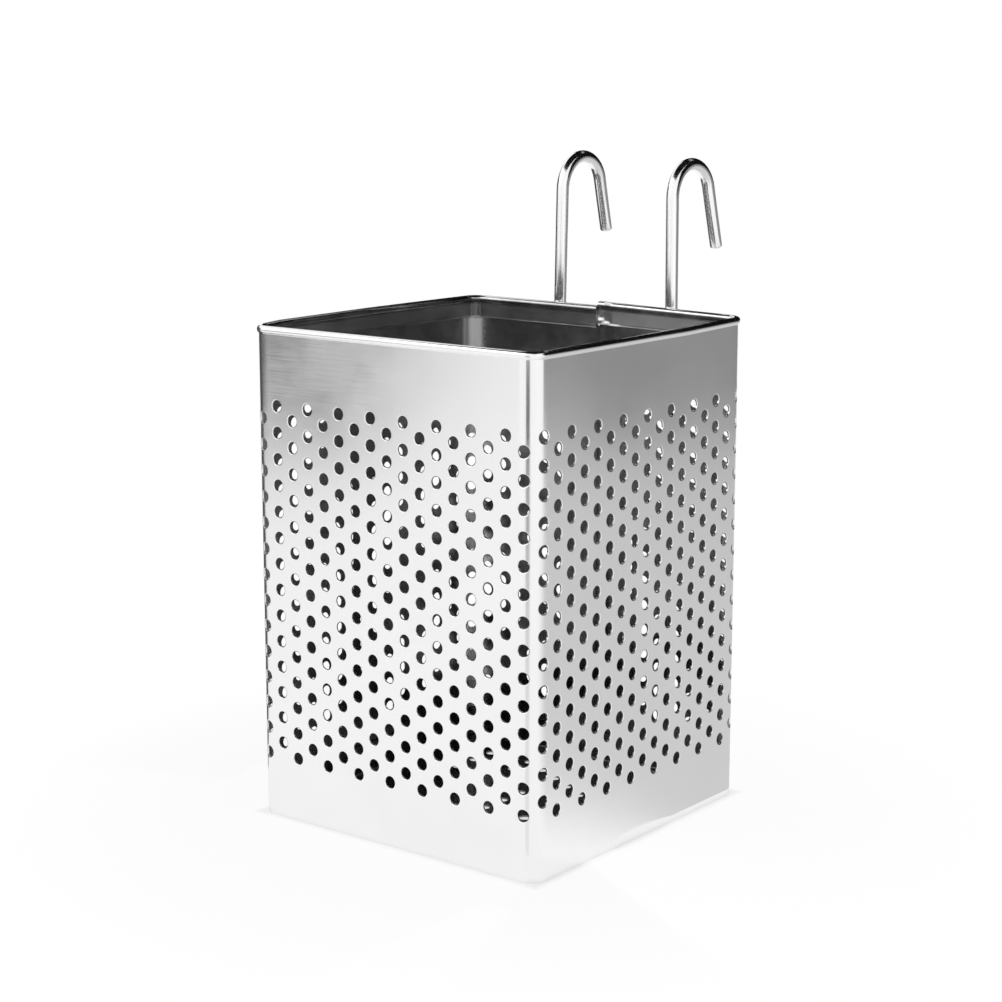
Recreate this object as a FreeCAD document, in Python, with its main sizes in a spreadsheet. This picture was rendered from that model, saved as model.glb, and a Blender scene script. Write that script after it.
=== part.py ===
import FreeCAD, Part
import math
import os

import Sketcher
from FreeCAD import Rotation, Vector

# A square utensil drainer: one perforated sheet wrapped into a tube and lap-seamed at the back,
# a drained floor pan welded into its foot, and two wire hooks tack-welded behind its rim.
# The origin is the middle of the underside, +Z is up, -Y is the front and +Y carries the hooks.

# Driving dimensions, in millimetres and degrees: alias, value, what it measures
SIZES = (
    ("side", 105.0, "outside width of the basket, flat to flat"),
    ("height", 150.0, "underside to the top of the rim"),
    ("sheet", 0.5, "thickness of the wall sheet"),
    ("corner_radius", 5.0, "outside radius of the upright corners"),
    ("bead_diameter", 2.4, "outside diameter of the rolled rim"),
    ("bead_proud", 0.6, "how far the rolled rim stands out from the wall"),
    ("bead_rise", 3.4, "depth below the rim where the wall starts to flare"),
    ("hem_depth", 7.0, "depth below the rim of the folded-in flap"),
    ("hem_gap", 0.15, "clearance between the flap's lower edge and the wall"),
    ("seam_shift", -1.5, "place of the seam along the back wall"),
    ("seam_slit", 0.3, "clearance between the two rim ends at the seam"),
    ("lap_width", 8.0, "width of the plain tongue that laps the seam"),
    ("lap_gap", 0.1, "fit-up clearance between the lapped layers"),
    ("lap_notch", 0.5, "clearance between the tongue's top and the flap's edge"),
    ("jog_stand", 2.0, "straight stretch beside the seam before the joggle"),
    ("jog_length", 4.0, "length of the joggle that lets the outer layer lap"),
    ("hole_diameter", 3.4, "diameter of the wall perforations"),
    ("column_pitch", 6.08, "spacing of the hole columns round the wall"),
    ("row_pitch", 7.92, "spacing of the holes up one column"),
    ("plain_top", 21.5, "plain band above the holes"),
    ("plain_bottom", 18.0, "plain band below the holes"),
    ("plain_seam", 4.0, "least distance from a hole column to the seam's layers"),
    ("pattern_shift", -0.4, "sideways offset of the front's middle column"),
    ("pan_sheet", 0.5, "thickness of the floor pan"),
    ("pan_gap", 0.1, "fit-up clearance between the pan's flange and the wall"),
    ("pan_flange", 10.0, "height of the pan's upturned flange"),
    ("pan_bend", 1.5, "outside bend radius under the pan's flange"),
    ("drain_diameter", 4.0, "diameter of the drain holes"),
    ("drain_column", 8.0, "spacing of the drain hole columns"),
    ("drain_row", 9.0, "spacing of the drain holes along one column"),
    ("drain_border", 14.0, "plain border from the pan's edge to the hole centres"),
    ("wire_diameter", 4.0, "diameter of the hook wire"),
    ("hook_spacing", 43.0, "distance between the two hooks"),
    ("hook_shift", 2.5, "sideways offset of the pair of hooks"),
    ("rim_clearance", 0.1, "clearance between the hook wire and the rolled rim"),
    ("hook_foot", 19.0, "depth below the rim of the wire's welded end"),
    ("hook_jog_top", 4.0, "depth below the rim where the wire's joggle ends"),
    ("hook_jog_length", 5.0, "length of the wire's joggle past the rim"),
    ("hook_bend_radius", 10.3, "centre-line radius of the hook's bend"),
    ("hook_turn", 165.0, "angle of the hook's bend"),
    ("left_rise", 35.8, "height of the left bend's centre above the rim"),
    ("left_leg", 17.5, "straight length of the left hook's free leg"),
    ("left_lean", 1.2, "sideways lean of the left hook"),
    ("right_rise", 34.4, "height of the right bend's centre above the rim"),
    ("right_leg", 19.8, "straight length of the right hook's free leg"),
    ("right_lean", -0.3, "sideways lean of the right hook"),
    ("tip_round", 0.8, "rounding of the wire's cut ends"),
    ("weld_length", 4.0, "length of one tack weld along the wire"),
    ("weld_width", 2.0, "width of one tack weld on the wall"),
    ("weld_height", 1.0, "height of one tack weld above the wall"),
    ("weld_margin", 0.4, "distance from a tack weld to the end of the wire's contact"),
    ("nugget_diameter", 3.0, "diameter of a spot weld"),
    ("nugget_height", 6.0, "height of the lowest spot welds above the underside"),
    ("seam_nugget_pitch", 24.0, "spacing of the spot welds up the seam"),
    ("base_nugget_pitch", 36.0, "spacing of the spot welds along each side of the pan"),
    ("overrun", 2.0, "how far a cutting tool runs past what it cuts"),
)

# The weld bead's middle lies this share of the wire's radius out from the wire's own middle
WELD_SEAT_SHARE = 0.95

START, END, CENTRE = 1, 2, 3
ORIGIN_AXIS = -1
SAME_LEVEL = 10 * Part.Precision.confusion()

doc = FreeCAD.newDocument("utensil_drainer")
sheet = doc.addObject("Spreadsheet::Sheet", "sizes")
for row, (alias, value, meaning) in enumerate(SIZES, start=1):
    sheet.set(f"A{row}", meaning)
    sheet.set(f"B{row}", str(value))
    sheet.setAlias(f"B{row}", alias)
doc.recompute()


def size(alias):
    return float(getattr(sheet, alias))


# Sketch helpers


def new_body(name):
    return doc.addObject("PartDesign::Body", name)


def new_sketch(body, name, role):
    """An empty sketch on one of the body's own origin planes."""
    sketch = body.newObject("Sketcher::SketchObject", name)
    plane = next(p for p in body.Origin.OriginFeatures if p.Role == role)
    sketch.AttachmentSupport = (plane, [""])
    sketch.MapMode = "FlatFace"
    return sketch


def line(sketch, start, end):
    return sketch.addGeometry(Part.LineSegment(Vector(*start, 0), Vector(*end, 0)))


def arc(sketch, centre, radius, start_angle, end_angle):
    """A counter-clockwise arc, with its angles in radians."""
    circle = Part.Circle(Vector(*centre, 0), Vector(0, 0, 1), radius)
    return sketch.addGeometry(Part.ArcOfCircle(circle, start_angle, end_angle))


def relate(sketch, kind, *where):
    sketch.addConstraint(Sketcher.Constraint(kind, *where))


def dimension(sketch, name, kind, where, formula):
    """A named dimension that follows a formula on the sheet."""
    value = float(sheet.evalExpression(formula.replace("sizes.", "")))
    start = math.radians(value) if kind == "Angle" else value
    index = sketch.addConstraint(Sketcher.Constraint(kind, *where, start))
    sketch.renameConstraint(index, name)
    sketch.setExpression(f"Constraints.{name}", formula)


def rounded_square(sketch, half, radius):
    """A square with rounded corners about the origin, from two formulas on the sheet."""
    reach = float(sheet.evalExpression(half.replace("sizes.", "")))
    rounding = float(sheet.evalExpression(radius.replace("sizes.", "")))
    flat = reach - rounding
    turn = math.pi / 2
    # Sides and corners in turn, counter-clockwise from the front
    front = line(sketch, (-flat, -reach), (flat, -reach))
    first = arc(sketch, (flat, -flat), rounding, -turn, 0)
    right = line(sketch, (reach, -flat), (reach, flat))
    second = arc(sketch, (flat, flat), rounding, 0, turn)
    back = line(sketch, (flat, reach), (-flat, reach))
    third = arc(sketch, (-flat, flat), rounding, turn, 2 * turn)
    left = line(sketch, (-reach, flat), (-reach, -flat))
    fourth = arc(sketch, (-flat, -flat), rounding, 2 * turn, 3 * turn)
    loop = (front, first, right, second, back, third, left, fourth)
    for here, after in zip(loop, loop[1:] + loop[:1]):
        relate(sketch, "Tangent", here, END, after, START)
    for level in (front, back):
        relate(sketch, "Horizontal", level)
    for upright in (left, right):
        relate(sketch, "Vertical", upright)
    for corner in (second, third, fourth):
        relate(sketch, "Equal", first, corner)
    dimension(sketch, "rounding", "Radius", (first,), radius)
    dimension(sketch, "front_edge", "DistanceY", (front, START), f"-({half})")
    dimension(sketch, "back_edge", "DistanceY", (back, START), half)
    dimension(sketch, "left_edge", "DistanceX", (left, START), f"-({half})")
    dimension(sketch, "right_edge", "DistanceX", (right, START), half)


def level_edges(shape, height):
    """Names of the edges that lie flat at one height."""
    names = []
    for index, edge in enumerate(shape.Edges, start=1):
        box = edge.BoundBox
        if abs(box.ZMin - height) < SAME_LEVEL and box.ZLength < SAME_LEVEL:
            names.append(f"Edge{index}")
    return names


def place(node, x, y, z, axis=(0, 0, 1), angle="0"):
    """Put a node at a place given by formulas, turned about an axis."""
    node.setExpression("Placement", placement(x, y, z, axis, angle))


def placement(x, y, z, axis=(0, 0, 1), angle="0"):
    about = "; ".join(str(part) for part in axis)
    return f"placement(vector({x}; {y}; {z}); rotation(vector({about}); {angle}))"


def punches(name, places):
    """A set of round punches, each given by its start, its direction, its radius and its length."""
    tool = doc.addObject("Part::Feature", name)
    tool.Shape = Part.makeCompound(
        [Part.makeCylinder(radius, length, start, along) for start, along, radius, length in places]
    )
    return tool


def cut(name, base, tool):
    result = doc.addObject("Part::Cut", name)
    result.Base = base
    result.Tool = tool
    return result


# Wall sheet: the rim's folded profile carried round the basket, with a plain tongue over the seam


def tangent_point(start, centre, radius, turn):
    """Where a line from a point touches a circle, on the side that turn (1 or -1) names."""
    dx, dy = start[0] - centre[0], start[1] - centre[1]
    away = math.hypot(dx, dy)
    angle = math.atan2(dy, dx) + turn * math.acos(radius / away)
    return (centre[0] + radius * math.cos(angle), centre[1] + radius * math.sin(angle)), angle


def wall_path(body):
    """The wall's outer face seen from above, from the outer rim end round to the inner one."""
    sketch = new_sketch(body, "wall_path", "XY_Plane")
    half, radius = size("side") / 2, size("corner_radius")
    flat, turn = half - radius, math.pi / 2
    outer = half + size("sheet") + size("lap_gap")
    seam = size("seam_shift")
    jog_start = seam + size("jog_stand")
    jog_end = jog_start + size("jog_length")
    jog_turn = 2 * math.atan2(outer - half, jog_end - jog_start)
    jog_radius = (jog_end - jog_start) / (2 * math.sin(jog_turn))

    lap = line(sketch, (seam, outer), (jog_start, outer))
    jog_in = arc(sketch, (jog_start, outer - jog_radius), jog_radius, turn - jog_turn, turn)
    jog_out = arc(sketch, (jog_end, half + jog_radius), jog_radius, 3 * turn - jog_turn, 3 * turn)
    back_right = line(sketch, (jog_end, half), (flat, half))
    corner_a = arc(sketch, (flat, flat), radius, 0, turn)
    right = line(sketch, (half, flat), (half, -flat))
    corner_b = arc(sketch, (flat, -flat), radius, -turn, 0)
    front = line(sketch, (flat, -half), (-flat, -half))
    corner_c = arc(sketch, (-flat, -flat), radius, 2 * turn, 3 * turn)
    left = line(sketch, (-half, -flat), (-half, flat))
    corner_d = arc(sketch, (-flat, flat), radius, turn, 2 * turn)
    back_left = line(sketch, (-flat, half), (seam - size("seam_slit"), half))

    relate(sketch, "Tangent", lap, END, jog_in, END)
    relate(sketch, "Tangent", jog_in, START, jog_out, START)
    relate(sketch, "Tangent", jog_out, END, back_right, START)
    turns = ((back_right, corner_a, right), (right, corner_b, front),
             (front, corner_c, left), (left, corner_d, back_left))
    for before, corner, after in turns:
        relate(sketch, "Tangent", before, END, corner, END)
        relate(sketch, "Tangent", corner, START, after, START)
    for level in (lap, back_right, front, back_left):
        relate(sketch, "Horizontal", level)
    for upright in (right, left):
        relate(sketch, "Vertical", upright)
    for corner in (corner_b, corner_c, corner_d):
        relate(sketch, "Equal", corner_a, corner)
    relate(sketch, "Equal", jog_in, jog_out)

    after_stand = "sizes.seam_shift + sizes.jog_stand"
    dimension(sketch, "corner", "Radius", (corner_a,), "sizes.corner_radius")
    dimension(sketch, "seam", "DistanceX", (lap, START), "sizes.seam_shift")
    dimension(sketch, "outer_layer", "DistanceY", (lap, START),
              "sizes.side / 2 + sizes.sheet + sizes.lap_gap")
    dimension(sketch, "jog_from", "DistanceX", (lap, END), after_stand)
    dimension(sketch, "jog_to", "DistanceX", (back_right, START), f"{after_stand} + sizes.jog_length")
    dimension(sketch, "back_face", "DistanceY", (back_right, START), "sizes.side / 2")
    dimension(sketch, "right_face", "DistanceX", (right, START), "sizes.side / 2")
    dimension(sketch, "front_face", "DistanceY", (front, START), "-sizes.side / 2")
    dimension(sketch, "left_face", "DistanceX", (left, START), "-sizes.side / 2")
    dimension(sketch, "inner_layer", "DistanceY", (back_left, START), "sizes.side / 2")
    dimension(sketch, "inner_end", "DistanceX", (back_left, END), "sizes.seam_shift - sizes.seam_slit")
    return sketch


def rim_profile(body):
    """The sheet's section at the seam: straight wall, flare, rolled bead and folded-in flap."""
    sketch = new_sketch(body, "rim_profile", "YZ_Plane")
    sketch.setExpression("AttachmentOffset", placement("0", "0", "sizes.seam_shift"))
    thick, height, bead = size("sheet"), size("height"), size("bead_diameter") / 2
    face = size("side") / 2 + thick + size("lap_gap")
    centre = (face + size("bead_proud") - bead, height - bead)
    flare = (face, height - size("bead_rise"))
    flap = (face - 2 * thick - size("hem_gap"), height - size("hem_depth"))
    outer_start, start_angle = tangent_point(flare, centre, bead, 1)
    outer_end, end_angle = tangent_point(flap, centre, bead, -1)
    end_angle += 2 * math.pi if end_angle < start_angle else 0
    inner = bead - thick
    inner_start = (centre[0] + inner * math.cos(start_angle), centre[1] + inner * math.sin(start_angle))
    inner_end = (centre[0] + inner * math.cos(end_angle), centre[1] + inner * math.sin(end_angle))
    flap_back = (flap[0] - thick * math.cos(end_angle), flap[1] - thick * math.sin(end_angle))
    slope = (outer_start[1] - flare[1]) / (outer_start[0] - flare[0])
    flare_back = (face - thick, inner_start[1] + slope * (face - thick - inner_start[0]))

    wall = line(sketch, (face, 0), flare)
    flare_out = line(sketch, flare, outer_start)
    bead_out = arc(sketch, centre, bead, start_angle, end_angle)
    flap_in = line(sketch, outer_end, flap)
    flap_edge = line(sketch, flap, flap_back)
    flap_out = line(sketch, flap_back, inner_end)
    bead_in = arc(sketch, centre, inner, start_angle, end_angle)
    flare_in = line(sketch, inner_start, flare_back)
    wall_in = line(sketch, flare_back, (face - thick, 0))
    foot = line(sketch, (face - thick, 0), (face, 0))

    relate(sketch, "Coincident", wall, END, flare_out, START)
    relate(sketch, "Tangent", flare_out, END, bead_out, START)
    relate(sketch, "Tangent", bead_out, END, flap_in, START)
    relate(sketch, "Coincident", flap_in, END, flap_edge, START)
    relate(sketch, "Coincident", flap_edge, END, flap_out, START)
    relate(sketch, "Tangent", flap_out, END, bead_in, END)
    relate(sketch, "Tangent", bead_in, START, flare_in, START)
    relate(sketch, "Coincident", flare_in, END, wall_in, START)
    relate(sketch, "Coincident", wall_in, END, foot, START)
    relate(sketch, "Coincident", foot, END, wall, START)
    relate(sketch, "Coincident", bead_in, CENTRE, bead_out, CENTRE)
    relate(sketch, "Vertical", wall)
    relate(sketch, "Vertical", wall_in)
    relate(sketch, "Horizontal", foot)
    relate(sketch, "Parallel", flare_out, flare_in)
    relate(sketch, "Parallel", flap_in, flap_out)
    relate(sketch, "Perpendicular", flap_in, flap_edge)
    relate(sketch, "PointOnObject", wall, START, ORIGIN_AXIS)

    outside = "sizes.side / 2 + sizes.sheet + sizes.lap_gap"
    dimension(sketch, "outer_face", "DistanceX", (wall, START), outside)
    dimension(sketch, "flare_height", "DistanceY", (wall, END), "sizes.height - sizes.bead_rise")
    dimension(sketch, "bead_radius", "Radius", (bead_out,), "sizes.bead_diameter / 2")
    dimension(sketch, "bead_out", "DistanceX", (bead_out, CENTRE),
              f"{outside} + sizes.bead_proud - sizes.bead_diameter / 2")
    dimension(sketch, "bead_height", "DistanceY", (bead_out, CENTRE),
              "sizes.height - sizes.bead_diameter / 2")
    dimension(sketch, "flap_place", "DistanceX", (flap_in, END),
              f"{outside} - 2 * sizes.sheet - sizes.hem_gap")
    dimension(sketch, "flap_height", "DistanceY", (flap_in, END), "sizes.height - sizes.hem_depth")
    dimension(sketch, "bead_bore", "Radius", (bead_in,), "sizes.bead_diameter / 2 - sizes.sheet")
    dimension(sketch, "inner_face", "DistanceX", (foot, START), f"{outside} - sizes.sheet")
    return sketch


def seam_tongue(body):
    """The plain tongue of the outer layer, below the rim, that laps the inner layer."""
    sketch = new_sketch(body, "seam_tongue", "XY_Plane")
    near = size("side") / 2 + size("lap_gap")
    far = near + size("sheet")
    seam = size("seam_shift")
    free = seam - size("lap_width")
    inside = line(sketch, (free, near), (seam, near))
    root = line(sketch, (seam, near), (seam, far))
    outside = line(sketch, (seam, far), (free, far))
    edge = line(sketch, (free, far), (free, near))
    loop = (inside, root, outside, edge)
    for here, after in zip(loop, loop[1:] + loop[:1]):
        relate(sketch, "Coincident", here, END, after, START)
    for level in (inside, outside):
        relate(sketch, "Horizontal", level)
    for upright in (root, edge):
        relate(sketch, "Vertical", upright)
    dimension(sketch, "free_edge", "DistanceX", (inside, START), "sizes.seam_shift - sizes.lap_width")
    dimension(sketch, "near_face", "DistanceY", (inside, START), "sizes.side / 2 + sizes.lap_gap")
    dimension(sketch, "root_edge", "DistanceX", (outside, START), "sizes.seam_shift")
    dimension(sketch, "far_face", "DistanceY", (outside, START),
              "sizes.side / 2 + sizes.lap_gap + sizes.sheet")
    pad = body.newObject("PartDesign::Pad", "tongue")
    pad.Profile = sketch
    pad.setExpression("Length", "sizes.height - sizes.hem_depth - sizes.lap_notch")
    return pad


def wall_place(distance):
    """A point of the outer face and its outward direction, at a distance round from the front's middle."""
    half, radius = size("side") / 2, size("corner_radius")
    flat, neutral = half - radius, radius - size("sheet") / 2
    quarter = 2 * flat + neutral * math.pi / 2
    face = math.floor(distance / quarter + 1 / 2)
    along = distance - face * quarter
    angle = max(abs(along) - flat, 0) / neutral
    across = min(abs(along), flat) + radius * math.sin(angle)
    hand = math.copysign(1, along)
    out = flat + radius * math.cos(angle)
    turn = Rotation(Vector(0, 0, 1), 90 * face)
    point = turn.multVec(Vector(hand * across, -out, 0))
    return point, turn.multVec(Vector(hand * math.sin(angle), -math.cos(angle), 0))


def wall_holes():
    """Staggered columns of holes that run on round the corners and stop short of the seam's layers."""
    half, radius = size("side") / 2, size("corner_radius")
    quarter = 2 * (half - radius) + (radius - size("sheet") / 2) * math.pi / 2
    pitch, step, seam = size("column_pitch"), size("row_pitch"), size("seam_shift")
    hole, over = size("hole_diameter") / 2, size("overrun")
    last = 2 * quarter - (seam + size("jog_stand") + size("jog_length") + size("plain_seam"))
    first = -2 * quarter - (seam - size("lap_width") - size("plain_seam"))
    lowest = size("plain_bottom") + hole
    highest = size("height") - size("plain_top") - hole
    places = []
    low_column = math.ceil((first - size("pattern_shift")) / pitch)
    high_column = math.floor((last - size("pattern_shift")) / pitch)
    for column in range(low_column, high_column + 1):
        point, out = wall_place(size("pattern_shift") + column * pitch)
        bottom = lowest + (step / 2 if column % 2 else 0)
        for level in range(math.floor((highest - bottom) / step) + 1):
            start = point + out * over + Vector(0, 0, bottom + level * step)
            places.append((start, -out, hole, size("sheet") + 2 * over))
    return places


def wall_sheet():
    body = new_body("wall_blank")
    path, profile = wall_path(body), rim_profile(body)
    doc.recompute()
    wrap = body.newObject("PartDesign::AdditivePipe", "wrapped_wall")
    wrap.Profile = profile
    wrap.Spine = path
    doc.recompute()
    seam_tongue(body)
    return cut("wall_sheet", body, punches("wall_punches", wall_holes()))


# Floor pan: a shallow tray pushed up into the wall's foot, with punched drain holes


def drain_holes():
    """Staggered drain holes inside the pan's plain border."""
    reach = size("side") / 2 - size("sheet") - size("pan_gap") - size("drain_border")
    across, along = size("drain_column"), size("drain_row")
    hole, over = size("drain_diameter") / 2, size("overrun")
    depth = size("pan_sheet") + 2 * over
    places = []
    last = math.floor(reach / across)
    for column in range(-last, last + 1):
        shift = along / 2 if column % 2 else 0
        count = math.floor((reach - shift) / along)
        for level in range(-count, count + (2 if shift else 1)):
            y = level * along - shift
            places.append((Vector(column * across, y, -over), Vector(0, 0, 1), hole, depth))
    return places


def base_pan():
    half = "sizes.side / 2 - sizes.sheet - sizes.pan_gap"
    rounding = "sizes.corner_radius - sizes.sheet - sizes.pan_gap"
    body = new_body("pan_blank")
    outside = new_sketch(body, "pan_outside", "XY_Plane")
    rounded_square(outside, half, rounding)
    block = body.newObject("PartDesign::Pad", "pan_block")
    block.Profile = outside
    block.setExpression("Length", "sizes.pan_flange")
    doc.recompute()

    bend = body.newObject("PartDesign::Fillet", "pan_outer_bend")
    bend.Base = (block, level_edges(block.Shape, 0))
    bend.setExpression("Radius", "sizes.pan_bend")

    inside = new_sketch(body, "pan_inside", "XY_Plane")
    inside.setExpression("AttachmentOffset", placement("0", "0", "sizes.pan_flange"))
    rounded_square(inside, f"{half} - sizes.pan_sheet", f"{rounding} - sizes.pan_sheet")
    hollow = body.newObject("PartDesign::Pocket", "pan_hollow")
    hollow.Profile = inside
    hollow.setExpression("Length", "sizes.pan_flange - sizes.pan_sheet")
    doc.recompute()

    inner_bend = body.newObject("PartDesign::Fillet", "pan_inner_bend")
    inner_bend.Base = (hollow, level_edges(hollow.Shape, size("pan_sheet")))
    inner_bend.setExpression("Radius", "sizes.pan_bend - sizes.pan_sheet")
    return cut("base_pan", body, punches("drain_punches", drain_holes()))


# Hooks: wire that joggles out past the rim, rises, and bends over backwards


def hook_place(hand):
    """Formulas for where a hook's own frame sits: on the back wall's face, level with the rim."""
    across = f"sizes.hook_shift {'-' if hand == 'left' else '+'} sizes.hook_spacing / 2"
    return across, "sizes.side / 2", "sizes.height", (0, 1, 0), f"sizes.{hand}_lean"


def wire_line(body, hand):
    """The wire's centre line in the hook's own frame: foot, joggle, shank, bend and leg."""
    sketch = new_sketch(body, f"{hand}_wire_line", "YZ_Plane")
    near = size("wire_diameter") / 2
    far = near + size("bead_proud") + size("rim_clearance")
    jog_top, jog_length = -size("hook_jog_top"), size("hook_jog_length")
    jog_low, rise = jog_top - jog_length, size(f"{hand}_rise")
    bend, turn = size("hook_bend_radius"), math.radians(size("hook_turn"))
    jog_turn = 2 * math.atan2(far - near, jog_length)
    jog_radius = jog_length / (2 * math.sin(jog_turn))
    leg_angle = math.pi - turn
    bend_end = (far + bend + bend * math.cos(leg_angle), rise + bend * math.sin(leg_angle))
    leg = size(f"{hand}_leg")
    tip = (bend_end[0] + leg * math.sin(leg_angle), bend_end[1] - leg * math.cos(leg_angle))

    foot = line(sketch, (near, -size("hook_foot")), (near, jog_low))
    jog_out = arc(sketch, (near + jog_radius, jog_low), jog_radius, math.pi - jog_turn, math.pi)
    jog_back = arc(sketch, (far - jog_radius, jog_top), jog_radius, -jog_turn, 0)
    shank = line(sketch, (far, jog_top), (far, rise))
    crook = arc(sketch, (far + bend, rise), bend, leg_angle, math.pi)
    free_leg = line(sketch, bend_end, tip)

    relate(sketch, "Tangent", foot, END, jog_out, END)
    relate(sketch, "Tangent", jog_out, START, jog_back, START)
    relate(sketch, "Tangent", jog_back, END, shank, START)
    relate(sketch, "Tangent", shank, END, crook, END)
    relate(sketch, "Tangent", crook, START, free_leg, START)
    relate(sketch, "Vertical", foot)
    relate(sketch, "Vertical", shank)
    relate(sketch, "Equal", jog_out, jog_back)
    clear = "sizes.wire_diameter / 2 + sizes.bead_proud + sizes.rim_clearance"
    dimension(sketch, "foot_stand", "DistanceX", (foot, START), "sizes.wire_diameter / 2")
    dimension(sketch, "foot_depth", "DistanceY", (foot, START), "-sizes.hook_foot")
    dimension(sketch, "jog_low", "DistanceY", (foot, END), "-sizes.hook_jog_top - sizes.hook_jog_length")
    dimension(sketch, "jog_top", "DistanceY", (shank, START), "-sizes.hook_jog_top")
    dimension(sketch, "shank_stand", "DistanceX", (shank, START), clear)
    dimension(sketch, "rise", "DistanceY", (shank, END), f"sizes.{hand}_rise")
    dimension(sketch, "bend", "Radius", (crook,), "sizes.hook_bend_radius")
    dimension(sketch, "turn", "Angle", (crook,), "sizes.hook_turn")
    dimension(sketch, "leg", "Distance", (free_leg,), f"sizes.{hand}_leg")
    return sketch


def hook(hand):
    body = new_body(f"hook_{hand}")
    path = wire_line(body, hand)
    section = new_sketch(body, f"{hand}_wire_section", "XY_Plane")
    section.setExpression("AttachmentOffset", placement("0", "0", "-sizes.hook_foot"))
    radius = size("wire_diameter") / 2
    ring = section.addGeometry(Part.Circle(Vector(0, radius, 0), Vector(0, 0, 1), radius))
    dimension(section, "wire", "Radius", (ring,), "sizes.wire_diameter / 2")
    dimension(section, "stand", "DistanceY", (ring, CENTRE), "sizes.wire_diameter / 2")
    dimension(section, "middle", "DistanceX", (ring, CENTRE), "0")
    doc.recompute()
    wire = body.newObject("PartDesign::AdditivePipe", f"{hand}_wire")
    wire.Profile = section
    wire.Spine = path
    doc.recompute()

    ends = [f"Edge{index}" for index, edge in enumerate(wire.Shape.Edges, start=1)
            if bounds_flat_end(wire.Shape, edge)]
    rounding = body.newObject("PartDesign::Fillet", f"{hand}_tip_round")
    rounding.Base = (wire, ends)
    rounding.setExpression("Radius", "sizes.tip_round")
    place(body, *hook_place(hand))
    return body


def bounds_flat_end(shape, edge):
    """Whether an edge is the rim of one of the wire's two flat ends."""
    return any(edge.isSame(side) for face in shape.Faces if face.Surface.TypeId == "Part::GeomPlane"
               for side in face.Edges)


def hook_welds(hand):
    """Two tack welds on each side of the wire's foot, filling the corner between wire and wall."""
    frame = placement(*hook_place(hand))
    contact_low = "-sizes.hook_foot"
    contact_high = "-sizes.hook_jog_top - sizes.hook_jog_length"
    inset = "sizes.weld_length / 2 + sizes.weld_margin"
    levels = (f"{contact_low} + {inset}", f"{contact_high} - ({inset})")
    beads = []
    for level, height in enumerate(levels):
        for side in (-1, 1):
            bead = doc.addObject("Part::Ellipsoid", f"{hand}_bead_{level}_{'right' if side > 0 else 'left'}")
            bead.setExpression("Radius1", "sizes.weld_length / 2")
            bead.setExpression("Radius2", "sizes.weld_width / 2")
            bead.setExpression("Radius3", "sizes.weld_height")
            across = f"{side * WELD_SEAT_SHARE} * sizes.wire_diameter / 2"
            bead.setExpression("Placement", f"{frame} * {placement(across, '0', height)}")
            beads.append(bead)
    group = doc.addObject("Part::Compound", f"{hand}_beads")
    group.Links = beads

    wire = doc.addObject("Part::Cylinder", f"{hand}_wire_room")
    wire.setExpression("Radius", "sizes.wire_diameter / 2")
    wire.setExpression("Height", "sizes.hook_foot + sizes.overrun")
    wire_stand = placement("0", "sizes.wire_diameter / 2", "-sizes.hook_foot - sizes.overrun")
    wire.setExpression("Placement", f"{frame} * {wire_stand}")
    wall = doc.addObject("Part::Box", f"{hand}_wall_room")
    wall.setExpression("Length", "2 * (sizes.wire_diameter + sizes.weld_width)")
    wall.setExpression("Width", "sizes.weld_height + sizes.overrun")
    wall.setExpression("Height", "sizes.hook_foot + sizes.overrun")
    wall_stand = placement("-sizes.wire_diameter - sizes.weld_width", "-sizes.weld_height - sizes.overrun",
                           "-sizes.hook_foot - sizes.overrun")
    wall.setExpression("Placement", f"{frame} * {wall_stand}")
    room = doc.addObject("Part::Fuse", f"{hand}_room")
    room.Base = wire
    room.Tool = wall
    return cut(f"hook_{hand}_welds", group, room)


# Spot welds: round nuggets that bridge the fit-up gaps of the seam and of the pan's flange


def nugget(name, thickness, x, y, z, turn="0"):
    """A nugget lying across a gap: it starts at a place and runs outwards from the wall it names."""
    disc = doc.addObject("Part::Cylinder", name)
    disc.setExpression("Radius", "sizes.nugget_diameter / 2")
    disc.setExpression("Height", thickness)
    about = placement("0", "0", "0", (0, 0, 1), turn)
    across = placement(x, y, z, (1, 0, 0), "90")
    disc.setExpression("Placement", f"{about} * {across}")
    return disc


def seam_spot_welds():
    top = size("height") - size("hem_depth") - size("lap_notch") - size("nugget_height")
    count = math.floor((top - size("nugget_height")) / size("seam_nugget_pitch")) + 1
    group = doc.addObject("Part::Compound", "seam_spot_welds")
    group.Links = [
        nugget(f"seam_nugget_{step}", "sizes.lap_gap", "sizes.seam_shift - sizes.lap_width / 2",
               "sizes.side / 2 + sizes.lap_gap", f"sizes.nugget_height + {step} * sizes.seam_nugget_pitch")
        for step in range(count)
    ]
    return group


def base_spot_welds():
    reach = size("side") / 2 - size("corner_radius") - size("nugget_diameter")
    count = math.floor(reach / size("base_nugget_pitch"))
    group = doc.addObject("Part::Compound", "base_spot_welds")
    group.Links = [
        nugget(f"base_nugget_{face}_{step + count}", "sizes.pan_gap", f"{step} * sizes.base_nugget_pitch",
               "sizes.side / 2 - sizes.sheet", "sizes.nugget_height", f"{90 * face}")
        for face in range(4)
        for step in range(-count, count + 1)
    ]
    return group


def check(nodes):
    """Stop on any object that failed and on any node whose shape is empty or faulty."""
    for item in doc.Objects:
        if "Invalid" in item.State or "Error" in item.State:
            raise RuntimeError(f"{item.Name} failed: {item.State}")
    for node in nodes:
        if node.Shape.isNull() or not node.Shape.isValid() or not node.Shape.Solids:
            raise RuntimeError(f"{node.Label} has no sound shape")


nodes = [wall_sheet(), base_pan()]
for hand in ("left", "right"):
    nodes += [hook(hand), hook_welds(hand)]
nodes += [seam_spot_welds(), base_spot_welds()]
doc.recompute()
check(nodes)

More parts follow.
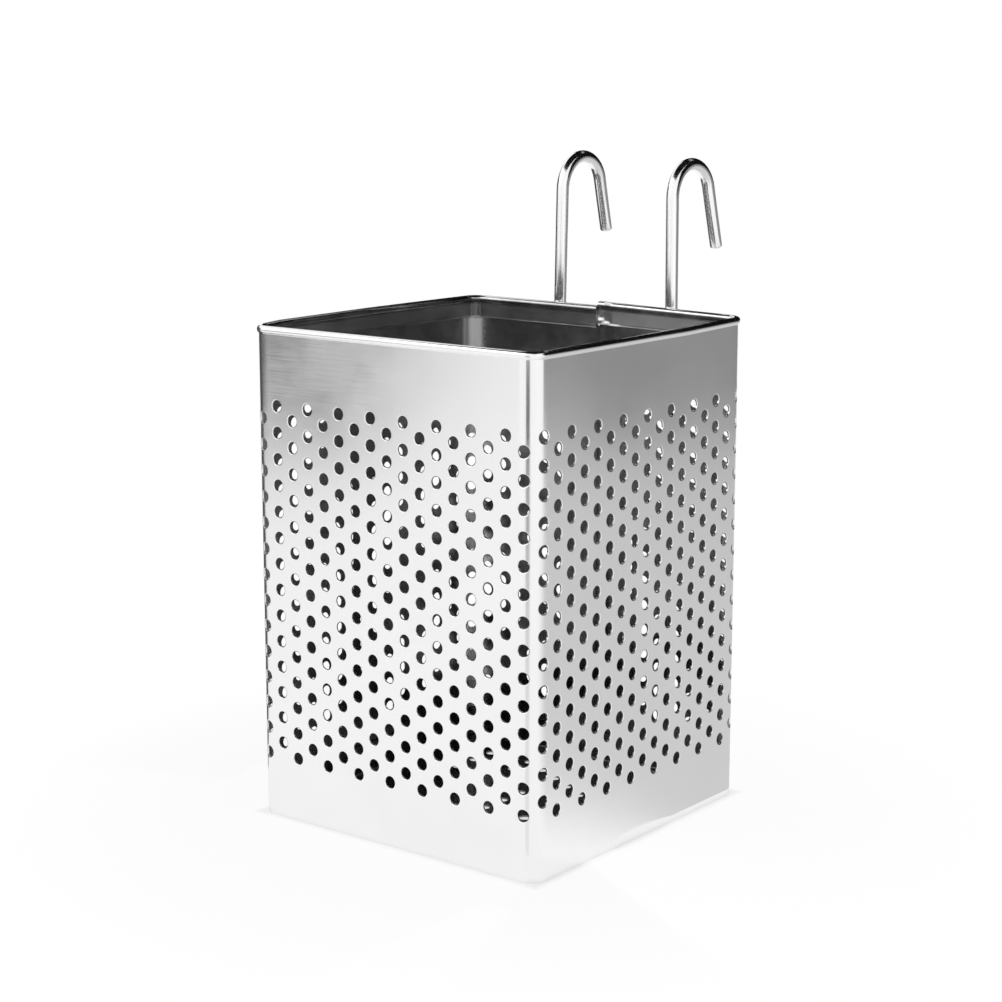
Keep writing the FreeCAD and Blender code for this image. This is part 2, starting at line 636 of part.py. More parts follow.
os.makedirs("parts", exist_ok=True)
for node in nodes:
    node.Shape.exportStep(f"parts/{node.Label}.step")
    print(node.Label, len(node.Shape.Solids), "solids", round(node.Shape.Volume, 1), "mm3")
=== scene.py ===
import math
from collections import namedtuple

import bpy
import numpy as np
from bpy.props import FloatProperty, FloatVectorProperty, IntProperty, PointerProperty
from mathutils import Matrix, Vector


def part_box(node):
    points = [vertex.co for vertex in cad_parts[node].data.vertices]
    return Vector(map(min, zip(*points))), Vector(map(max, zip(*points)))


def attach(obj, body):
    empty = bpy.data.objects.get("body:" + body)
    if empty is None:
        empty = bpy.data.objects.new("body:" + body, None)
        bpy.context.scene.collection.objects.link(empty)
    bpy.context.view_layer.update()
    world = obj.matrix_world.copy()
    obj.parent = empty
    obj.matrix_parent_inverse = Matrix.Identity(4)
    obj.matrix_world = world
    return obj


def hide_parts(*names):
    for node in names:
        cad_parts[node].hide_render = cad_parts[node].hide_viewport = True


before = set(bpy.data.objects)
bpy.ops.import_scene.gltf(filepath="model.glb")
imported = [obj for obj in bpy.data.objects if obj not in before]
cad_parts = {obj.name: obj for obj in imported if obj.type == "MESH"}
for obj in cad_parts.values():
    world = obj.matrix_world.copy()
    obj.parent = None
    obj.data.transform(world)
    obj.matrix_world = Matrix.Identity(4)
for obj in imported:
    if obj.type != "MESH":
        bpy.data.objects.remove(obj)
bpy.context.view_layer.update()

bl_info = {
    "name": "Utensil Drainer",
    "version": (1, 0, 0),
    "blender": (4, 5, 0),
    "location": "3D View > Sidebar > Drainer",
    "description": "Builds the finished surfaces of a perforated steel utensil drainer",
    "category": "Add Mesh",
}

MM = 0.001
BODY = "root"
WALL_LOW, WALL_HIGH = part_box("wall_sheet")
BEAD_PROUD = 0.6 * MM

# Sheet coordinates: distance round the wall, height, and depth out of its face
ROUND, UP, OUT = 1, 2, 3

# Attributes of the sheet: shares of polished edge, of painted shade on the unpolished inner face and
# under the rim, and of skin roughened by bending
SHEET_SHARES = ("wear", "painted_shade", "peel")

# Points that agree to the first step are made one, and slopes are taken over the second
WELD_STEP = 1e-6
SLOPE_STEP = 0.05 * MM

# A cell's outline has this many segments along its top and up its side
CELL_ACROSS = 4
CELL_UP = 6

# Points along each stretch of the sheet, its rim, the wires and the welds
BAND_POINTS = 5
TOP_POINTS = 4
JOGGLE_POINTS = 7
HOLLOW_POINTS = 4
BEAD_POINTS = 17
APRON_POINTS = 6
TIP_POINTS = 6
JOG_POINTS = 12
SHANK_POINTS = 13
CROOK_POINTS = 49
LEG_POINTS = 8
WIRE_AROUND = 28
WELD_AROUND = 24
WELD_UP = 9

# Two slow waves that cross in a panel: radians per half width, per panel and per height
WAVE_ACROSS = (4.3, 1.9, 2.1)
WAVE_UP = (1.3, 2.3, 7.7)

# The rim's climb: places in quarter turns from the front's middle, and shares of the lift at the seam
LIFT_PLACES = (-2, -1.5, -1, -0.6, -0.5, 1.2, 1.5, 2)
LIFT_SHARES = (0.2, 0.4, 0.55, 0.4, 0, 0, 0.4, 1.15)

# The painted shade under the bead fades out over the first share, of its diameter. A bend is polished to
# the second.
UNDER_FADE_SHARE = 0.25
BEND_WEAR_SHARE = 0.5

# Ripples of a weld: their height as a share of the weld's size, and radians per half length
RIPPLE_SHARE = 0.08
RIPPLE_WAVE = 9


# Settings


def length(name, description, default):
    """A setting for a length in metres."""
    return FloatProperty(name=name, description=description, default=default,
                         unit="LENGTH", subtype="DISTANCE", precision=5)


def angle(name, description, degrees):
    """A setting for an angle, given in degrees and kept in radians."""
    return FloatProperty(name=name, description=description, default=math.radians(degrees),
                         unit="ROTATION", subtype="ANGLE")


def share(name, description, default):
    """A setting for a share from 0 to 1."""
    return FloatProperty(name=name, description=description, default=default, subtype="FACTOR",
                         min=0, max=1)


def colour(name, description, default):
    """A setting for a colour."""
    return FloatVectorProperty(name=name, description=description, default=default,
                               subtype="COLOR", size=3, min=0, max=1)


class WallSettings(bpy.types.PropertyGroup):
    """Sizes of the perforated wall sheet."""

    side: length("Side", "Outside width of the basket, flat to flat",
                 WALL_HIGH.x - WALL_LOW.x - 2 * BEAD_PROUD)
    height: length("Height", "Underside to the top of the rim", WALL_HIGH.z)
    sheet: length("Sheet", "Thickness of the wall sheet", 0.5 * MM)
    corner_radius: length("Corner radius", "Outside radius of the upright corners", 5 * MM)
    burnish_run: length("Burnish run", "How far the burnish of a bend runs onto its flats", 1.5 * MM)
    bead_diameter: length("Rim bead", "Outside diameter of the rolled rim", 2.4 * MM)
    bead_proud: length("Bead stand", "How far the rolled rim stands out", BEAD_PROUD)
    bead_fillet: length("Bead fillet", "Radius of the hollow under the rolled rim", 0.2 * MM)
    hem_depth: length("Hem depth", "Depth below the rim of the folded-in flap", 7 * MM)
    bead_tuck: angle("Bead tuck", "How far the rolled rim turns under before the flap", 45)
    hem_turn: length("Hem turn", "Length of the flap's turned edge", 0.75 * MM)
    hem_kick: length("Hem kick", "How far the flap's lower edge turns in", 0.2 * MM)
    hem_gap: length("Hem gap", "Gap between the flap's lower edge and the wall", 0.15 * MM)
    # The inside's painted shade is full at its foot and less by the next share above a height, over a run
    inner_light: share("Inner light", "How much less dull the inside is above its foot", 0.2)
    light_start: length("Light start", "Height at which the inside starts to lighten", 60 * MM)
    light_run: length("Light run", "Height over which the inside lightens", 50 * MM)
    # Share of painted shade on the flap under the rim, for each stretch from the seam round to the seam
    flap_shade: FloatVectorProperty(
        name="Flap dullness", size=5, default=(0.58, 0.66, 0.1, 0.1, 0.2), min=0, max=1,
        description="Share of the unpolished face that the flap shows, from the seam round to the seam")
    seam_shift: length("Seam place", "Place of the seam along the back wall", -1.5 * MM)
    seam_slit: length("Seam slit", "Gap between the two rim ends at the seam", 0.3 * MM)
    curl: length("Curl", "How far the flap's loose corner at the seam curls in", 0.3 * MM)
    curl_run: length("Curl run", "Length of the curled corner along the flap", 5.6 * MM)
    curl_drop: length("Curl drop", "Height of the curled corner up the flap", 1.9 * MM)
    curl_width: share("Curl width", "Width of the curl's fold as a share of the corner", 0.65)
    lap_width: length("Lap width", "Width of the tongue that laps the seam", 8 * MM)
    lap_gap: length("Lap gap", "Gap between the lapped layers", 0.1 * MM)
    lap_notch: length("Lap notch", "Gap between the tongue's top and the flap's edge", 0.5 * MM)
    jog_stand: length("Joggle stand", "Straight stretch beside the seam", 2 * MM)
    jog_length: length("Joggle length", "Length of the joggle beside the seam", 4 * MM)
    hole_diameter: length("Hole diameter", "Diameter of the perforations", 3.4 * MM)
    hole_roll: length("Hole roll", "Width of the rolled-over edge of a punched hole", 0.4 * MM)
    column_pitch: length("Column pitch", "Spacing of the hole columns", 6.08 * MM)
    row_pitch: length("Row pitch", "Spacing of the holes up one column", 7.92 * MM)
    first_row: length("First row", "Height of the lowest holes' middles", 19.7 * MM)
    rows: IntProperty(name="Rows", description="Holes in one column", default=14, min=1)
    plain_seam: length("Plain seam", "Least distance from a hole column to the seam's layers", 4 * MM)
    pattern_shift: length("Pattern shift", "Sideways offset of the front's middle column", -0.4 * MM)
    bow_right: length("Right bow", "How far the right panel bows out", 0.5 * MM)
    bow_other: length("Other bow", "How far the front and left panels bow out", 0.25 * MM)
    wave: length("Wave", "Height of the sheet's slow waves", 0.05 * MM)
    seam_lift: length("Seam lift", "How much higher the rim's outer end stands at the seam", 1.4 * MM)


class HookSettings(bpy.types.PropertyGroup):
    """Sizes of the two wire hooks and their tack welds."""

    wire_diameter: length("Wire", "Diameter of the hook wire", 4 * MM)
    spacing: length("Spacing", "Distance between the two hooks", 43 * MM)
    shift: length("Shift", "Sideways offset of the pair of hooks", 2.5 * MM)
    rim_clearance: length("Rim clearance", "Gap between the wire and the rolled rim", 0.1 * MM)
    foot: length("Foot", "Depth below the rim of the wire's welded end", 19 * MM)
    jog_top: length("Joggle top", "Depth below the rim where the joggle ends", 4 * MM)
    jog_length: length("Joggle length", "Length of the joggle past the rim", 5 * MM)
    bend_radius: length("Bend radius", "Centre-line radius of the bend", 10.3 * MM)
    turn: angle("Turn", "Angle of the bend", 165)
    left_rise: length("Left rise", "Height of the left bend's centre above the rim", 35.8 * MM)
    left_leg: length("Left leg", "Straight length of the left hook's free leg", 17.5 * MM)
    left_lean: angle("Left lean", "Sideways lean of the left hook", 1.2)
    right_rise: length("Right rise", "Height of the right bend's centre above the rim", 34.4 * MM)
    right_leg: length("Right leg", "Straight length of the right hook's free leg", 19.8 * MM)
    right_lean: angle("Right lean", "Sideways lean of the right hook", -0.3)
    tip_round: length("Tip rounding", "Rounding of the wire's cut ends", 0.8 * MM)
    weld_length: length("Weld length", "Length of one tack weld along the wire", 4 * MM)
    weld_width: length("Weld width", "Width of one tack weld", 2 * MM)
    weld_height: length("Weld height", "Height of one tack weld", 1 * MM)
    weld_margin: length("Weld margin", "Distance from a weld to the end of the contact", 0.4 * MM)
    weld_seat: share("Weld seat", "Share of the wire's radius at which a weld is centred", 0.95)


class FinishSettings(bpy.types.PropertyGroup):
    """Colours and polish of the metals."""

    sheet_colour: colour("Sheet", "Satin stainless sheet", (0.93, 0.93, 0.93))
    sheet_dull: colour("Dull sheet", "Satin sheet where it is handled", (0.89, 0.89, 0.895))
    # Dark colour painted as shade on the unpolished inner face, on the flap and on the floor pan
    painted_shade_colour: colour("Mill face", "The sheet's unpolished inner face", (0.20, 0.20, 0.203))
    wire_colour: colour("Wire", "Polished stainless wire", (0.96, 0.96, 0.965))
    weld_colour: colour("Weld", "Cleaned weld metal", (0.60, 0.59, 0.57))
    tint_colour: colour("Heat tint", "Straw tint beside a weld", (0.52, 0.43, 0.30))
    sheet_roughness: share("Sheet roughness", "Mean roughness of the satin sheet", 0.22)
    bend_rougher: share("Bend roughness", "How much rougher the inside of a bend is", 0.65)
    wear_smoother: share("Wear", "How much smoother a worn edge is", 0.08)
    wire_roughness: share("Wire roughness", "Mean roughness of the polished wire", 0.15)
    weld_roughness: share("Weld roughness", "Mean roughness of the weld metal", 0.4)


class StageSettings(bpy.types.PropertyGroup):
    """Camera, floor and the lamps' aim."""

    azimuth: angle("Azimuth", "Camera's turn to the right of the front", 37.958)
    elevation: angle("Elevation", "Camera's height above the level", 11.1175)
    distance: length("Distance", "From the camera to its aim", 0.67578)
    aim_side: length("Aim side", "The aim's place across the view", -0.00018)
    aim_height: length("Aim height", "The aim's height above the floor", 0.09528)
    focal_length: FloatProperty(name="Lens", description="Focal length in millimetres on a 36 mm frame",
                                default=80.04, unit="CAMERA")
    floor_size: length("Floor", "Half width of the floor", 3.0)
    floor_colour: colour("Floor colour", "Pale floor", (0.92, 0.92, 0.92))
    floor_roughness: share("Floor roughness", "Roughness of the pale floor", 0.9)
    shadow_white: share("Shadow white", "Share of white on the floor nearest the object", 0.93)
    shadow_start: length("Shadow start", "Distance from the middle where the shadow starts to fade", 75 * MM)
    shadow_end: length("Shadow end", "Distance from the middle where the floor is white", 160 * MM)
    contact_white: share("Contact white", "Share of white where the foot meets the floor", 0.7)
    contact_line: length("Contact line", "Width of the dark line along the foot", 2.5 * MM)
    lamp_aim: length("Lamp aim", "Height at which the lamps aim", 80 * MM)


# Mesh helpers


def grid_quads(index):
    """Quads between the neighbouring rows and columns of grids of point numbers."""
    low, high = index[..., :-1, :], index[..., 1:, :]
    return np.stack([low[..., :-1], low[..., 1:], high[..., 1:], high[..., :-1]], -1).reshape(-1, 4)


def closed_grid(index):
    """Grids of point numbers whose first column comes again after the last."""
    return np.concatenate([index, index[..., :1]], -1)


def patch(s, z, n, normal, flip=False, closed=False, wear=0.0, painted_shade=0.0, peel=0.0, v=None):
    """Grids of quads in sheet coordinates: distance round the wall, height, and depth out of its face.

    The last two axes of s, z and n are a grid's rows and columns, and any axis before them counts
    separate grids. normal has the same axes and three parts in sheet coordinates. wear is the share
    of polished edge, the next share that of painted shade, a dark colour that stands in for the shade on
    the sheet's unpolished inner face and under the rim, and peel that of the skin roughened by bending.
    v is the UV map's second part where that isn't the height.
    """
    shape = np.broadcast_shapes(np.shape(s), np.shape(z), np.shape(n))
    shape = (int(np.prod(shape[:-2])), *shape[-2:])
    points = np.stack([np.broadcast_to(part, shape) for part in (s, z, n)], -1)
    normals = np.broadcast_to(normal, (*shape, 3))
    index = np.arange(math.prod(shape)).reshape(shape)
    quads = grid_quads(closed_grid(index) if closed else index)
    along = points[..., 1] if v is None else np.broadcast_to(v, shape)
    return {
        "points": points.reshape(-1, 3),
        "normals": normals.reshape(-1, 3),
        "quads": quads[:, ::-1] if flip else quads,
        "wear": np.broadcast_to(wear, shape).reshape(-1),
        "painted_shade": np.broadcast_to(painted_shade, shape).reshape(-1),
        "peel": np.broadcast_to(peel, shape).reshape(-1),
        "uv": np.stack([points[..., 0].ravel(), along.ravel()], -1),
    }


def joined(patches):
    """All patches as one, with corner normals and UVs kept apart and like points made one."""
    starts = np.cumsum([0] + [len(p["points"]) for p in patches[:-1]])
    quads = np.concatenate([p["quads"] + start for p, start in zip(patches, starts)])
    points, normals, uv = (np.concatenate([p[key] for p in patches])
                           for key in ("points", "normals", "uv"))
    keys = np.round(points / WELD_STEP).astype(np.int64)
    _, first, where = np.unique(keys, axis=0, return_index=True, return_inverse=True)
    where = where.reshape(-1)
    shares = {}
    for key in SHEET_SHARES:
        shares[key] = np.zeros(len(first))
        np.maximum.at(shares[key], where, np.concatenate([p[key] for p in patches]))
    return points[first], where[quads], normals[quads], uv[quads], shares


def unit(vectors):
    """Vectors divided by their lengths."""
    return vectors / np.linalg.norm(vectors, axis=-1, keepdims=True)


def smooth(x):
    """The smooth step 3x^2 - 2x^3, held at 0 below 0 and at 1 above 1."""
    x = np.clip(x, 0, 1)
    return x * x * (3 - 2 * x)


def new_object(name, points, faces, uv=None, normals=None, attributes=None):
    """A mesh object at the origin, from whole arrays of points and faces."""
    mesh = bpy.data.meshes.new(name)
    mesh.from_pydata(points.tolist(), [], [list(map(int, face)) for face in faces])
    if uv is not None:
        layer = mesh.uv_layers.new(name="UVMap")
        layer.uv.foreach_set("vector", np.asarray(uv, np.float32).ravel())
    for key, values in (attributes or {}).items():
        attribute = mesh.attributes.new(key, "FLOAT", "POINT")
        attribute.data.foreach_set("value", np.asarray(values, np.float32))
    mesh.shade_smooth()
    if normals is not None:
        mesh.normals_split_custom_set(np.asarray(normals, np.float32).reshape(-1, 3))
    piece = bpy.data.objects.new(name, mesh)
    bpy.context.scene.collection.objects.link(piece)
    return piece


def dress(piece, material):
    """Give a piece one material in place of any others."""
    piece.data.materials.clear()
    piece.data.materials.append(material)


# Wall sheet


def wall_quarter(wall):
    """Half a panel's flat width, the bend's neutral radius, and the sheet's length round a quarter turn."""
    flat = wall.side / 2 - wall.corner_radius
    neutral = wall.corner_radius - wall.sheet / 2
    return flat, neutral, 2 * flat + neutral * math.pi / 2


def panel_place(wall, s):
    """The number of the panel at a distance s, and how far s lies past that panel's middle."""
    _, _, quarter = wall_quarter(wall)
    panel = np.floor(s / quarter + 0.5)
    return panel, s - panel * quarter


def wall_frame(wall, s):
    """The point of the bends' centre line and the outward direction at a distance s.

    Each quarter turn is a flat of half width f about its panel's middle, then an arc whose angle is
    (|s| - f) / neutral radius; a panel's turn about Z is its number times 90 degrees.
    """
    flat, neutral, _ = wall_quarter(wall)
    panel, along = panel_place(wall, s)
    bend = np.clip(np.abs(along) - flat, 0, None) / neutral * np.sign(along)
    turn = panel * math.pi / 2 + bend
    root = np.stack([np.clip(along, -flat, flat), np.full_like(s, -flat)], -1)
    cos, sin = np.cos(panel * math.pi / 2), np.sin(panel * math.pi / 2)
    centre = np.stack([cos * root[..., 0] - sin * root[..., 1],
                       sin * root[..., 0] + cos * root[..., 1]], -1)
    out = np.stack([np.sin(turn), -np.cos(turn)], -1)
    return centre, out


def burnish(wall, s):
    """How far the bending tool has burnished the sheet: 1 in a bend, a smooth step to 0 beside it."""
    flat, _, _ = wall_quarter(wall)
    _, along = panel_place(wall, s)
    return smooth((np.abs(along) - flat + wall.burnish_run) / wall.burnish_run)


def bend_peel(wall, s):
    """How far bending has roughened the inside: a squared smooth step from beside a bend to its middle."""
    flat, _, quarter = wall_quarter(wall)
    _, along = panel_place(wall, s)
    start = flat - wall.burnish_run
    return smooth((np.abs(along) - start) / (quarter / 2 - start)) ** 2


def inner_shade(wall, s, z):
    """Share of painted shade on the unpolished inner face: full at the foot, a smooth step less higher up,
    none in a bend.
    """
    light = wall.inner_light * smooth((z - wall.light_start) / wall.light_run)
    return (1 - light) * (1 - burnish(wall, s))


def wall_relief(wall, s, z):
    """How far the sheet stands off its flat: joggle, bowed panels and slow waves.

    A panel's bow is (1 - t^2)^2 across it times 27/4 h^2 (1 - h) up it, with h the share of the height
    below the rolled rim. The waves are a product of two sines under the same mask.
    """
    flat, _, quarter = wall_quarter(wall)
    jog_end = 2 * quarter - wall.seam_shift - wall.jog_stand
    joggle = (wall.sheet + wall.lap_gap) * smooth((s - jog_end + wall.jog_length) / wall.jog_length)
    panel, along = panel_place(wall, s)
    across = np.clip(along / flat, -1, 1)
    up = np.clip(z / (wall.height - wall.bead_diameter), 0, 1)
    bow = np.choose((panel % 4).astype(int), [wall.bow_other, wall.bow_right, 0.0, wall.bow_other])
    mask = (1 - across ** 2) ** 2 * 27 / 4 * up ** 2 * (1 - up)
    place = np.stack([across, panel, up], -1)
    waves = np.sin(place @ WAVE_ACROSS) * np.sin(place @ WAVE_UP)
    return joggle + mask * (bow + np.where(bow > 0, wall.wave, 0) * waves)


def rim_lift(wall, s, z):
    """How much higher than level the rim stands: it climbs along the back to the seam's outer end."""
    _, _, quarter = wall_quarter(wall)
    places = quarter * np.array(LIFT_PLACES)
    lifts = wall.seam_lift * np.array(LIFT_SHARES)
    low = wall.first_row + wall.row_pitch * wall.rows
    top = wall.height - wall.bead_diameter
    return np.interp(s, places, lifts) * smooth((z - low) / (top - low))


def wall_point(wall, points):
    """Sheet coordinates to places: the arc's centre plus the outward direction times (radius + depth)."""
    s, z, n = np.moveaxis(points, -1, 0)
    centre, out = wall_frame(wall, s)
    reach = wall.corner_radius + n + wall_relief(wall, s, z)
    return np.concatenate([centre + out * reach[..., None], (z + rim_lift(wall, s, z))[..., None]], -1)


def slopes(height, wall, s, z):
    """A height's slopes round the wall and up it, as differences across a small step."""
    step = SLOPE_STEP
    return ((height(wall, s + step, z) - height(wall, s - step, z)) / (2 * step),
            (height(wall, s, z + step) - height(wall, s, z - step)) / (2 * step))


def wall_normal(wall, points, normals):
    """Sheet directions to directions in space, tilted by the slopes of the relief."""
    s, z, _ = np.moveaxis(points, -1, 0)
    _, out = wall_frame(wall, s)
    slope_s, slope_z = (slope[..., None] for slope in slopes(wall_relief, wall, s, z))
    zero = np.zeros_like(s)
    outward = np.stack([out[..., 0], out[..., 1], zero], -1)
    forward = np.stack([-out[..., 1], out[..., 0], zero], -1)
    upward = np.stack([zero, zero, zero + 1], -1)
    facing = outward - slope_s * forward - slope_z * upward
    forward = forward + slope_s * outward
    upward = upward + slope_z * outward
    return unit(normals[..., :1] * forward + normals[..., 1:2] * upward + normals[..., 2:] * facing)


def rim_section(wall):
    """The folded rim as rows of (depth, height): outer and inner line, their facings, and the run along.

    The line leaves the wall on a hollow arc that touches the bead, turns round the bead and under it, and
    comes down on a second hollow arc as the flap, whose edge turns in; the inner line lies one sheet inside.
    """
    bead, fillet = wall.bead_diameter / 2, wall.bead_fillet
    centre = np.array([wall.bead_proud - bead, wall.height - bead])
    first = -math.acos((fillet - centre[0]) / (bead + fillet))
    last = math.pi + wall.bead_tuck

    def facing(start, stop, count):
        turn = np.linspace(start, stop, count)
        return np.stack([np.cos(turn), np.sin(turn)], -1)

    dip = facing(0, first, HOLLOW_POINTS)
    turn = facing(first, last, BEAD_POINTS)[1:]
    rise = facing(last, math.pi, HOLLOW_POINTS)[1:]
    hollow = centre + (bead + fillet) * dip[-1]
    tuck = centre + (bead + fillet) * turn[-1] - fillet * rise
    flap = np.array([-2 * wall.sheet - wall.hem_gap, wall.height - wall.hem_depth])
    fall = unit(flap - tuck[-1])
    inward = np.array([fall[1], -fall[0]])
    bend = flap - fall * wall.hem_turn
    lip = flap + inward * wall.hem_kick
    kick = unit(lip - bend)
    apron = np.linspace(tuck[-1], bend, APRON_POINTS)[1:]
    outer = np.concatenate([hollow - fillet * dip, centre + bead * turn, tuck, apron, [lip]])
    facings = np.concatenate([dip, turn, rise, [inward] * len(apron), [[kick[1], -kick[0]]]])
    inner = outer - wall.sheet * facings
    run = hollow[1] + np.concatenate([[0], np.cumsum(np.linalg.norm(np.diff(outer, axis=0), axis=1))])
    return outer, inner, facings, run


def seam_curl(wall, s, z):
    """How far the flap's loose corner at the seam curls in: a smooth step across a slanting fold."""
    end = 2 * wall_quarter(wall)[2] - wall.seam_shift
    low = wall.height - wall.hem_depth
    past = 1 - (end - s) / wall.curl_run - (z - low) / wall.curl_drop
    return -wall.curl * smooth(0.5 + past / wall.curl_width)


def along_normal(part):
    """A unit direction along ROUND, UP or OUT, or back along it where that number is negative."""
    direction = np.zeros(3)
    direction[abs(part) - 1] = math.copysign(1, part)
    return direction


def hole_columns(wall):
    """Numbers of the hole columns: all that stay clear of the seam's layers."""
    _, _, quarter = wall_quarter(wall)
    last = 2 * quarter - wall.seam_shift - wall.jog_stand - wall.jog_length - wall.plain_seam
    first = wall.lap_width + wall.plain_seam - wall.seam_shift - 2 * quarter
    low = math.ceil((first - wall.pattern_shift) / wall.column_pitch)
    return np.arange(low, math.floor((last - wall.pattern_shift) / wall.column_pitch) + 1)


def cell_outline(wall):
    """The outline of one hole's cell, round from its lower right corner, and as many even angles."""
    half_s, half_z = wall.column_pitch / 2, wall.row_pitch / 2
    across = np.linspace(1, -1, CELL_ACROSS, endpoint=False)
    up = np.linspace(-1, 1, CELL_UP, endpoint=False)
    edge_s = np.concatenate([np.ones(CELL_UP), across, -np.ones(CELL_UP), -across]) * half_s
    edge_z = np.concatenate([up, np.ones(CELL_ACROSS), -up, -np.ones(CELL_ACROSS)]) * half_z
    count = len(edge_s)
    turn = 2 * math.pi * (np.arange(count) - CELL_UP / 2) / count
    return edge_s, edge_z, np.cos(turn), np.sin(turn)


def hole_cells(wall):
    """Each hole's cell: a face from its outline to a rolled brink, the punched wall, and the inner face."""
    columns = hole_columns(wall)[:, None]
    rows = np.arange(wall.rows)[None, :]
    middle_s = wall.pattern_shift + columns * wall.column_pitch + 0 * rows
    middle_z = wall.first_row + rows * wall.row_pitch + columns % 2 * wall.row_pitch / 2
    middle_s, middle_z = middle_s.reshape(-1, 1, 1), middle_z.reshape(-1, 1, 1)
    edge_s, edge_z, cos, sin = cell_outline(wall)
    radius, roll, zero = wall.hole_diameter / 2, wall.hole_roll, np.zeros_like(edge_s)

    def rings(*lines):
        s = np.stack([line[0] for line in lines])
        z = np.stack([line[1] for line in lines])
        n = np.stack([np.full_like(zero, line[2]) for line in lines])
        return middle_s + s, middle_z + z, n[None]

    outline = (edge_s, edge_z, 0.0)
    shoulder = ((radius + roll) * cos, (radius + roll) * sin, 0.0)
    brink = (radius * cos, radius * sin, -wall.sheet / 2)
    burr = (radius * cos, radius * sin, -wall.sheet)
    back = (edge_s, edge_z, -wall.sheet)
    inwards = np.stack([-cos, -sin, zero], -1)
    outwards = np.broadcast_to(along_normal(OUT), inwards.shape)
    worn = np.array([0.0, 1.0])[:, None]
    inside = rings(burr, back)
    return [
        patch(*rings(outline, shoulder), along_normal(OUT), closed=True),
        patch(*rings(shoulder, brink), np.stack([outwards, inwards]), closed=True, wear=worn),
        patch(*rings(brink, burr), inwards, closed=True),
        # The inner face about each hole takes the inside's painted shade
        patch(*inside, along_normal(-OUT), closed=True, painted_shade=inner_shade(wall, *inside[:2]),
              peel=bend_peel(wall, inside[0])),
    ]


def plain_face(wall, s, z):
    """Both faces of a plain stretch of sheet, the inner one with the inside's painted shade."""
    return [patch(s, z, 0.0, along_normal(OUT), wear=BEND_WEAR_SHARE * burnish(wall, s)),
            patch(s, z, -wall.sheet, along_normal(-OUT), flip=True, painted_shade=inner_shade(wall, s, z),
                  peel=bend_peel(wall, s))]


def flap_shade_share(wall, s):
    """Share of painted shade on the flap, which shows the unpolished face: even along a panel, ramped
    round a bend.
    """
    flat, _, quarter = wall_quarter(wall)
    places = quarter * np.arange(-2, 3)[:, None] + np.array([-flat, flat])
    return np.interp(s, places.ravel(), np.repeat(wall.flap_shade, 2))


def under_bead(wall, z):
    """Where the painted shade under the bead is full: 1 from the bead's middle down to its foot, with a
    smooth step to 0 above and below.
    """
    below = (wall.height - z) / wall.bead_diameter
    return smooth((below - 0.5) / UNDER_FADE_SHARE + 1) * smooth((1 - below) / UNDER_FADE_SHARE + 1)


def hem(wall, s):
    """The folded rim carried along a stretch of the wall: outside, flap edge and inside."""
    outer, inner, facings, run = (part[:, None] for part in rim_section(wall))
    flap = facings[..., 0] < 0
    z = outer[..., 1]
    curl = seam_curl(wall, s, z) * flap
    tilt_s, tilt_z = (slope * flap for slope in slopes(seam_curl, wall, s, z))
    facing = unit(np.stack([tilt_s, facings[..., 1] + tilt_z, facings[..., 0] + 0 * curl], -1))
    edge = unit(outer[-1] - outer[-2])
    edge_facing = np.concatenate([[[0]], edge[:, 1:], edge[:, :1]], -1)
    lip = np.stack([outer[-1], inner[-1]])
    crest = smooth((z - wall.height + wall.bead_diameter) / wall.bead_diameter)
    # Painted shade on the faces that look inward: the flap's share for its stretch, rising to full under the
    # bead
    dull_and_shade = flap_shade_share(wall, s)
    folded = (dull_and_shade + (1 - dull_and_shade) * under_bead(wall, z)) * smooth(-facings[..., 0])
    return [
        patch(s, z, outer[..., 0] + curl, facing, wear=crest, painted_shade=folded, v=run),
        # The flap's cut edge is painted full shade
        patch(s, lip[..., 1], lip[..., 0] + curl[-1], edge_facing, painted_shade=1.0, v=run[-1:]),
        patch(s, inner[..., 1], inner[..., 0] + curl, -facing, flip=True, v=run),
    ]


